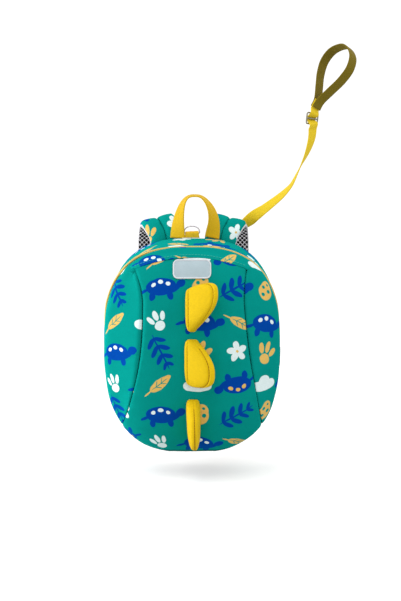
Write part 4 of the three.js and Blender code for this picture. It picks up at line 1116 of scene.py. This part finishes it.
strap_finish = neoprene_finish("strap_neoprene", (0.094, 0.061))
strap_mesh_finish = mesh_finish("strap_spacer_mesh")
binding_finish = plain_cloth_finish("binding_tape", BINDING_WHITE, 0.0007)
for side, sign in (("left", -1), ("right", 1)):
    strap_middles, strap_places, strap_far, level = strap_course(side, sign)
    strap_half = np.interp(strap_places, np.arange(len(strap_table)), strap_table[:, 3]) / 2
    strap_puff = np.interp(strap_places, np.arange(len(strap_table)), strap_table[:, 4])
    strap_along = unit(np.gradient(strap_middles, axis=0))
    strap_across = unit(level - strap_along * (strap_along @ level)[:, None])
    strap_out = np.cross(strap_across, strap_along)
    hump = np.abs(np.sin(math.pi * strap_shares)) ** STRAP_LOBE_ROUND
    puffed = strap_puff[:, None] * hump
    flat = strap_middles[:, None] + (strap_half[:, None] * strap_shares)[..., None] * strap_across[:, None]
    outer = flat + (STRAP_EDGE + STRAP_OUTSIDE * puffed)[..., None] * strap_out[:, None]
    under = flat - (STRAP_EDGE + STRAP_UNDERSIDE * puffed)[..., None] * strap_out[:, None]
    count, size = len(strap_middles), 2 * len(strap_shares)
    strap_points = np.concatenate([outer, under[:, ::-1]], axis=1)
    strap_over = np.concatenate([strap_shares, strap_shares[::-1]])
    print_across = STRAP_PRINT_STRETCH * strap_half[:, None] * strap_over
    strap_cloth = np.stack(np.broadcast_arrays(print_across, strap_far[:, None]), axis=-1)
    strap = make_piece(f"strap_{side}_pad", strap_points, tube_faces(count, size), strap_cloth)
    sewn_grid = np.zeros((count, size), bool)
    sewn_grid[:, (np.abs(np.abs(strap_over) - 1) < 1e-6) | (np.abs(strap_over) < 1e-6)] = True
    sewn_grid[[0, -1]] = True
    stuff(strap, np.flatnonzero(sewn_grid), pressure=2.0, slack=0.03, cap=0.0006)
    fit(strap, strap_finish, "printed_neoprene", f"strap_{side}")
    strap.data.materials.append(strap_mesh_finish)
    half = size // 2
    for polygon in strap.data.polygons:
        if len(polygon.vertices) == 4 and all(v % size >= half for v in polygon.vertices):
            polygon.material_index = 1
    smoother = strap.modifiers.new("smooth", "SUBSURF")
    smoother.levels = smoother.render_levels = 1
    for edge, edge_share in (("inner", -sign), ("outer", sign)):
        tape_middles = strap_middles + (edge_share * (strap_half - BINDING_INSET))[:, None] * strap_across
        tape = sweep(f"strap_{side}_{edge}_binding", tape_middles, strap_across,
                     webbing_section(BINDING_WIDTH, BINDING_THICK, 14, 3))
        fit(tape, binding_finish, "printed_neoprene")


# Strap webbing: flat polyester webbing sewn into the foot of each shoulder strap and into a lower corner of
# the back panel. It starts inside the strap's foot, at distances from its end.
WEBBING_WIDTH, WEBBING_THICK, WEBBING_STEPS = 0.018, 0.002, 50
WEBBING_IN_FOOT = (-0.004, 0.0006, 0.007)
WEBBING_ROUTE = [(0.0605, 0.043, -0.081), (0.061, 0.030, -0.090), (0.061, 0.016, -0.0955),
                 (0.060, 0.006, -0.0995), (0.059, 0.0016, -0.106)]
GOLDEN_YELLOW = (211, 171, 24)
golden_finish = webbing_finish("golden_webbing", GOLDEN_YELLOW)
for side, sign in (("left", -1), ("right", 1)):
    strap_middles, _, _, level = strap_course(side, sign)
    foot = strap_middles[-1]
    foot_along = unit(strap_middles[-1] - strap_middles[-2])
    lower_route = [foot + far * foot_along for far in WEBBING_IN_FOOT]
    lower_route += [(np.array(row) + (STRAP_SHIFT[side], 0, 0)) * (sign, 1, 1) for row in WEBBING_ROUTE]
    lower_middles = smooth_route(lower_route, WEBBING_STEPS)[0]
    lower = sweep(f"strap_{side}_lower_webbing", lower_middles, np.tile(level, (WEBBING_STEPS, 1)),
                  webbing_section(WEBBING_WIDTH, WEBBING_THICK))
    fit(lower, golden_finish, "webbing", f"strap_webbing_{side}")


# Handle: golden webbing whose ends are sewn into the top seam of the side wall. It stands up in an arch, flat
# at its feet and edge-on at its top.
HANDLE_X, HANDLE_Y = 0.0034, -0.003
HANDLE_HALF_SPAN, HANDLE_RISE, HANDLE_ARCH_ROUND, HANDLE_BOW = 0.0211, 0.0516, 0.68, 0.0055
HANDLE_WIDTH, HANDLE_THICK = 0.019, 0.002
HANDLE_FOOT_TURN, HANDLE_TOP_TURN = 20, 84
handle_foot = EGG_TOP + SEAM_GAP
handle_arc = np.linspace(0, math.pi, 120)
handle_side, handle_up = np.cos(handle_arc), np.sin(handle_arc)
handle_x = HANDLE_X - HANDLE_HALF_SPAN * np.sign(handle_side) * np.abs(handle_side) ** HANDLE_ARCH_ROUND
handle_x += 2 * HANDLE_BOW * handle_up * np.maximum(-handle_side, 0) ** 3
handle_z = handle_foot + HANDLE_RISE * handle_up
handle_middles = np.stack([handle_x, np.full_like(handle_arc, HANDLE_Y), handle_z], axis=-1)
handle_along = unit(np.gradient(handle_middles, axis=0))
handle_turn = HANDLE_FOOT_TURN + (HANDLE_TOP_TURN - HANDLE_FOOT_TURN) * handle_up
handle_turn = np.radians(handle_turn)[:, None]
handle_inward = np.cross(BACKWARD, handle_along)
handle_across = handle_inward * np.cos(handle_turn) - BACKWARD * np.sin(handle_turn)
handle = sweep("handle_webbing", handle_middles, handle_across, webbing_section(HANDLE_WIDTH, HANDLE_THICK))
fit(handle, golden_finish, "webbing", "handle")


# Ring tab: a short piece of yellow polyester webbing, folded over the bar of the ring. Its two ends are sewn
# into the top seam together.
TAB_Y, TAB_WIDTH, TAB_THICK = -0.002, 0.0164, 0.0013
TAB_BAR_UP = 0.0056
TAB_BEND, TAB_FOOT = 0.0019, 0.0008
TAB_SPREAD, TAB_SLANT = 0.14, 0.04
# Painted light: the tab is the handle's golden webbing, given a lighter yellow to offset the shade it lies
# in.
TAB_YELLOW = (246, 198, 48)
tab_bar = handle_foot + TAB_BAR_UP
tab_turn = np.linspace(0, math.pi, 25)
tab_fold_z = tab_bar + TAB_BEND * np.sin(tab_turn)
tab_fold = np.stack([0 * tab_turn, TAB_BEND * np.cos(tab_turn), tab_fold_z], axis=-1)
tab_down = np.linspace(0.05, 1, 8)
tab_leg_y = TAB_BEND + (TAB_FOOT - TAB_BEND) * tab_down
tab_leg = np.stack([0 * tab_down, tab_leg_y, tab_bar - TAB_BAR_UP * tab_down], axis=-1)
tab_middles = np.vstack([tab_leg[::-1], tab_fold, tab_leg * (1, -1, 1)]) + (0, TAB_Y, 0)
tab = sweep("ring_tab_webbing", tab_middles, np.tile([1.0, 0, 0], (len(tab_middles), 1)),
            webbing_section(TAB_WIDTH, TAB_THICK))
for vertex in tab.data.vertices:
    raised = (vertex.co.z - handle_foot) / (TAB_BAR_UP + TAB_BEND)
    vertex.co.z += TAB_SLANT * vertex.co.x * raised
    vertex.co.x *= 1 + TAB_SPREAD * max(1 - raised, 0)
fit(tab, webbing_finish("tab_webbing", TAB_YELLOW), "webbing", "ring_tab")


# D-ring: thin plated steel wire bent to a D, with its bar in the fold of the tab. It isn't fixed there, but
# swings on that bar.
RING_WIRE, RING_HALF_WIDTH, RING_HEIGHT, RING_CORNER = 0.0008, 0.0094, 0.0086, 0.0016
RING_SHOULDER, RING_CROWN = 0.72 * RING_HEIGHT, 0.56 * RING_HALF_WIDTH
RING_SILVER = (214, 208, 220)


def bezier(points, count):
    """Points along a curve with two to four guides, without its last one."""
    t = np.linspace(0, 1, count, endpoint=False)[:, None]
    points = np.array(points)[:, None]
    while len(points) > 1:
        points = points[:-1] * (1 - t) + points[1:] * t
    return points[0]


ring_w, ring_h, ring_c = RING_HALF_WIDTH, RING_HEIGHT, RING_CORNER
ring_outline = np.vstack([
    bezier([(ring_c - ring_w, 0), (ring_w - ring_c, 0)], 14),
    bezier([(ring_w - ring_c, 0), (ring_w, 0), (ring_w, ring_c)], 7),
    bezier([(ring_w, ring_c), (ring_w, RING_SHOULDER), (RING_CROWN, ring_h), (0, ring_h)], 22),
    bezier([(0, ring_h), (-RING_CROWN, ring_h), (-ring_w, RING_SHOULDER), (-ring_w, ring_c)], 22),
    bezier([(-ring_w, ring_c), (-ring_w, 0), (ring_c - ring_w, 0)], 7),
])
ring_y = np.full(len(ring_outline), TAB_Y)
ring_middles = np.stack([ring_outline[:, 0], ring_y, tab_bar + ring_outline[:, 1]], axis=-1)
d_ring = sweep("d_ring_wire", ring_middles, np.tile(BACKWARD, (len(ring_middles), 1)),
               wire_section(RING_WIRE, 14), closed=True)
fit(d_ring, metal_finish("ring_plate", RING_SILVER, 0.5), "plated_wire", "d_ring", body="ring")


# Badge: a plain plaque of soft see-through rubber with a raised rim, moulded in one and stuck to the top of
# the front panel.
BADGE_UP, BADGE_HALF_WIDTH, BADGE_HALF_HEIGHT, BADGE_CORNER = 0.0925, 0.022, 0.0107, 0.006
BADGE_SEAT = 0.0005
# Inset from the edge and height off the cloth, in millimetres, up the rim and down to the floor.
BADGE_RIM = [(0, 0), (0, 0.9), (0.2, 1.4), (0.5, 1.7), (0.9, 1.7), (1.2, 1.4), (1.5, 1.0), (2.1, 0.9)]
BADGE_FLOOR_SHARES = [0.75, 0.5, 0.25, 0.08]
BADGE_CORNER_LEAST = 0.002
# The clear and the cloudy colour of the rubber, thin over the floor and thick in the rim.
BADGE_FLOOR_COLOURS = (142, 162, 169), (170, 186, 193)
BADGE_RIM_COLOURS = (190, 192, 198), (208, 210, 214)
badge_rings = []
for inset, height in np.array(BADGE_RIM) / 1000:
    corner = max(BADGE_CORNER - inset, BADGE_CORNER_LEAST)
    ring = rounded_rectangle(BADGE_HALF_WIDTH - inset, BADGE_HALF_HEIGHT - inset, corner, 12)
    badge_rings.append(on_front(ring[:, 0], BADGE_UP + ring[:, 1], BADGE_SEAT + height)[0])
for share in BADGE_FLOOR_SHARES:
    badge_rings.append(on_front(ring[:, 0] * share, BADGE_UP + ring[:, 1] * share, BADGE_SEAT + height)[0])
badge_size = len(ring)
badge = make_piece("badge_plaque", np.stack(badge_rings), tube_faces(len(badge_rings), badge_size))


def rubber_finish(name, clear, cloudy):
    """Soft see-through rubber, a little cloudy, with a fine grain."""
    material, tree, shader = new_finish(name, 0.36, gloss=0.5)
    cloud = noise(tree, object_place(tree), 60.0, 4.0)
    grain = noise(tree, object_place(tree), 1500.0)
    tree.links.new(blended(tree, cloud, linear(*clear), linear(*cloudy)), shader.inputs["Base Color"])
    shader.inputs["Subsurface Weight"].default_value = 0.25
    shader.inputs["Subsurface Radius"].default_value = (0.002, 0.002, 0.002)
    raise_surface(tree, shader, grain, 0.00006, 0.5)
    return material


fit(badge, rubber_finish("badge_floor_rubber", *BADGE_FLOOR_COLOURS), "badge_rubber", "badge")
badge.data.materials.append(rubber_finish("badge_rim_rubber", *BADGE_RIM_COLOURS))
for polygon in badge.data.polygons[:(len(BADGE_RIM) - 2) * badge_size]:
    polygon.material_index = 1


# Spikes: fins of yellow cloth, each of two faces sewn together along the outer edge, turned out and stuffed.
# Their hems are sewn down the middle of the front, and the upper two lean to the right.
SPIKE_SEAT = 0.0002
# Name, top, foot, height, lean, carry up, thickness, the foot's share of it, how far right the top and the
# foot are, and the level of the seam, which is rolled to the front where the fin leans.
SPIKE_ROWS = [
    ("spike_top", 0.071, 0.022, 0.037, 50, 0.0185, 0.015, 1.0, (0.0, 0.0), 0.90),
    ("spike_middle", 0.014, -0.040, 0.034, 46, -0.011, 0.017, 1.0, (0.0, 0.0), 0.89),
    ("spike_bottom", -0.056, -0.112, 0.033, 1.5, -0.002, 0.0152, 0.84, (0.0010, 0.0022), 1.0),
]
SPIKE_EDGE, SPIKE_FULLNESS, SPIKE_BULGE, SPIKE_END_RISE = 0.0010, 2.7, 1.8, 0.06
# Each end in outline: the share of the thickness left at the very end, and how square it is.
SPIKE_UPPER_END, SPIKE_LOWER_END = (0.4, 6), (0.15, 3)
SEAM_SINK, SEAM_SPREAD = 0.0016, 0.0008
HEM_LEVEL, HEM_SINK, HEM_SPREAD = 0.03, 0.0009, 0.0006
HEM_STRIP, HEM_STRIP_LIFT = 0.007, 0.0012
SPIKE_END_EASE, SPIKE_RIDGE_RISE, SPIKE_RIDGE_OVER = 0.12, 0.0004, 0.008
SPIKE_STITCH_LIFT, SPIKE_STITCH_FROM_END = 0.0003, 5
# The spike thread is real stitching in a darker yellow than the cloth; its darkness is also painted shade
# along the seam grooves.
SPIKE_YELLOW, SPIKE_SEAM_SHADE_THREAD = (227, 189, 12), (172, 118, 6)
spike_finish = plain_cloth_finish("spike_cloth", SPIKE_YELLOW, 0.0008)
seam_shade_thread = thread_finish("seam_shade_thread", SPIKE_SEAM_SHADE_THREAD)
hem_shares = np.array([0, 0.2, 0.4, 0.6, 0.8])
face_levels = np.array([0, 0.015, 0.03, 0.045, 0.065, 0.10, 0.18, 0.28, 0.40, 0.52, 0.63, 0.73, 0.81,
                        0.855, 0.88, 0.90, 0.92, 0.95, 0.98, 1.0])
under_shares = np.array([0.85, 0.0, -0.85])
spike_s = np.concatenate([[0, 0.012], np.linspace(0.03, 0.97, 53), [0.988, 1]])
for name, top, foot, height, lean, carry, thick, taper, aside, seam_level in SPIKE_ROWS:
    lean = math.radians(lean)
    x, z = np.interp(spike_s, (0, 1), aside), top + (foot - top) * spike_s
    to_end = np.abs(2 * spike_s - 1)
    rise = 1 + (SPIKE_END_RISE - 1) * to_end ** SPIKE_FULLNESS
    end_thick, end_square = np.where(spike_s[:, None] < 0.5, SPIKE_UPPER_END, SPIKE_LOWER_END).T
    thinned = end_thick + (1 - end_thick) * np.sqrt(1 - to_end ** end_square)
    half = thick / 2 * (1 + (taper - 1) * spike_s) * thinned
    seat, normal = on_front(x, z, SPIKE_SEAT)
    out = normal * math.cos(lean) + np.array([math.sin(lean), 0, 0])
    flank = unit(np.array([1.0, 0, 0]) - out * out[:, :1])
    reach = out * (height * rise)[:, None] + np.array([0, 0, 1.0]) * (carry * rise)[:, None]
    full = np.clip((1 - to_end) / SPIKE_END_EASE, 0, 1)[:, None]
    bulge = np.outer(half, np.sqrt(1 - face_levels ** SPIKE_BULGE)) + SPIKE_EDGE
    seam_groove = SEAM_SINK * full * np.exp(-((face_levels - seam_level) * height / SEAM_SPREAD) ** 2)
    hem_groove = HEM_SINK * full * np.exp(-((face_levels - HEM_LEVEL) * height / HEM_SPREAD) ** 2)
    sides = []
    for sign in (-1, 1):
        sunk = hem_groove + (seam_groove if sign < 0 else 0)
        face = seat[:, None] + reach[:, None] * face_levels[:, None]
        face = face + sign * (bulge - sunk)[..., None] * flank[:, None]
        root = on_front(x + sign * half, z, SPIKE_SEAT)[0][:, None]
        strip = root + (face[:, :1] - root) * hem_shares[:, None]
        strip_out = unit(np.cross(np.gradient(root[:, 0], axis=0), face[:, 0] - root[:, 0]) + 1e-12)
        strip_out *= np.where(np.sum(strip_out * flank, axis=1, keepdims=True) * sign < 0, -1, 1)
        strip_lift = HEM_STRIP_LIFT * full * np.sin(math.pi * hem_shares)
        points = np.concatenate([strip + strip_lift[..., None] * strip_out[:, None], face], axis=1)
        cloth_y = on_front(points[..., 0], points[..., 2], SPIKE_SEAT + 0 * points[..., 0])[0][..., 1]
        points[..., 1] = np.minimum(points[..., 1], cloth_y)
        sides.append(points)
    ridge_sink = SEAM_SINK * full if seam_level == 1 else -SPIKE_RIDGE_RISE
    ridge = (seat + reach - ridge_sink * out)[:, None]
    under = on_front(x[:, None] + np.outer(half, under_shares), np.repeat(z[:, None], 3, axis=1),
                     SPIKE_SEAT + np.zeros((len(z), 3)))[0]
    spike_points = np.concatenate([sides[0], ridge, sides[1][:, ::-1], under], axis=1)
    count, size = spike_points.shape[:2]
    side_over = np.concatenate([HEM_STRIP * hem_shares, HEM_STRIP + height * face_levels])
    over = np.concatenate([side_over, [height + SPIKE_RIDGE_OVER], side_over[::-1], [0, 0, 0]])
    spike_cloth = np.stack(np.broadcast_arrays(over[None], (spike_s * (top - foot))[:, None]), axis=-1)
    spike = make_piece(f"{name}_stuffed", spike_points, tube_faces(count, size), spike_cloth)
    columns = len(side_over)
    hem_column = len(hem_shares) + list(face_levels).index(HEM_LEVEL)
    seam_column = len(hem_shares) + int(np.argmin(np.abs(face_levels - seam_level)))
    loose = list(range(hem_column + 3, seam_column - 2))
    loose += [2 * columns - k for k in loose]
    sewn_grid = np.ones((count, size), bool)
    sewn_grid[:, loose] = False
    stuff(spike, np.flatnonzero(sewn_grid), pressure=4.0, slack=0.0, cap=0.0008)
    fit(spike, spike_finish, "spike_cloth", name)
    smoother = spike.modifiers.new("smooth", "SUBSURF")
    smoother.levels = smoother.render_levels = 1
    sewn_rows = slice(SPIKE_STITCH_FROM_END, count - SPIKE_STITCH_FROM_END)
    # Stitches of the darker thread lie in the hem and edge grooves, as painted seam shade.
    for seam, column in (("hem", hem_column), ("edge", seam_column)):
        line = spike_points[sewn_rows, column]
        beside = spike_points[sewn_rows, column + 1] - spike_points[sewn_rows, column - 1]
        line_up = unit(np.cross(np.gradient(line, axis=0), beside))
        line_up *= np.where(np.sum(line_up * flank[sewn_rows], axis=1, keepdims=True) > 0, -1, 1)
        stitch_row(f"{name}_{seam}_stitches", line + SPIKE_STITCH_LIFT * line_up, line_up,
                   seam_shade_thread, "spike_cloth", length=0.0031, pitch=0.0033, radius=0.00045)


# Studio: a lit white table below the bag and an even white surround, with a strip lamp overhead, a second one
# close on the left and a weak far lamp on the right.
TABLE_LEVEL = -0.158
TABLE_HALF = 6.0
TABLE_GLOW, TABLE_WHITE, TABLE_DULL = 0.25, 0.80, 0.60
SURROUND = 1.10
# Each strip lamp: where it stands, its two sizes, which way it points and its power. The far lamp fills the
# right side, from a direction, with a strength and a spread in degrees.
STRIP_LAMPS = {"overhead_lamp": ((-0.10, -0.40, 1.20), (0.3, 1.6), (0.10, 0.40, -1.20), 5.0),
               "left_lamp": ((-0.45, -0.06, 0.0), (0.14, 0.45), (1, 0, 0), 2.4)}
FAR_LAMP = ((0.80, -0.50, 0.30), 0.5, 60)
table_signs = ((-1, -1), (1, -1), (1, 1), (-1, 1))
table_corners = [(a * TABLE_HALF, b * TABLE_HALF, TABLE_LEVEL) for a, b in table_signs]
table = make_piece("studio_table", table_corners, [[0, 1, 2, 3]], behind=np.array([0, 0, -1]))
table_finish, table_tree, table_shader = new_finish("lit_acrylic", 0.9)
table_shader.inputs["Base Color"].default_value = (TABLE_WHITE, TABLE_WHITE, TABLE_WHITE, 1)
table_shader.inputs["Emission Color"].default_value = (1, 1, 1, 1)
table_shader.inputs["Emission Strength"].default_value = TABLE_GLOW
table_dull = node(table_tree, "ShaderNodeBsdfDiffuse", {"Color": (TABLE_DULL, TABLE_DULL, TABLE_DULL, 1)})
table_seen = node(table_tree, "ShaderNodeLightPath").outputs["Is Camera Ray"]
table_mix = node(table_tree, "ShaderNodeMixShader", {0: table_seen, 1: table_dull.outputs[0],
                                                     2: table_shader.outputs[0]})
table_tree.links.new(table_mix.outputs[0], table_tree.nodes["Material Output"].inputs["Surface"])
table.data.materials.append(table_finish)
for name, (place, size, aim, power) in STRIP_LAMPS.items():
    lamp = bpy.data.lights.new(name, "AREA")
    lamp.shape = "RECTANGLE"
    lamp.size, lamp.size_y = size
    lamp.energy = power
    holder = bpy.data.objects.new(name, lamp)
    holder.location = place
    holder.rotation_euler = Vector(aim).to_track_quat("-Z", "Y").to_euler()
    bpy.context.collection.objects.link(holder)
far_direction, far_strength, far_spread = FAR_LAMP
far_lamp = bpy.data.lights.new("right_lamp", "SUN")
far_lamp.energy = far_strength
far_lamp.angle = math.radians(far_spread)
far_holder = bpy.data.objects.new("right_lamp", far_lamp)
far_holder.rotation_euler = Vector(far_direction).to_track_quat("Z", "Y").to_euler()
bpy.context.collection.objects.link(far_holder)
surround = bpy.data.worlds.new("studio_surround")
surround.use_nodes = True
surround_light = surround.node_tree.nodes["Background"]
surround_light.inputs["Color"].default_value = (1, 1, 1, 1)
surround_light.inputs["Strength"].default_value = SURROUND
bpy.context.scene.world = surround
bpy.context.scene.view_settings.view_transform = "Standard"
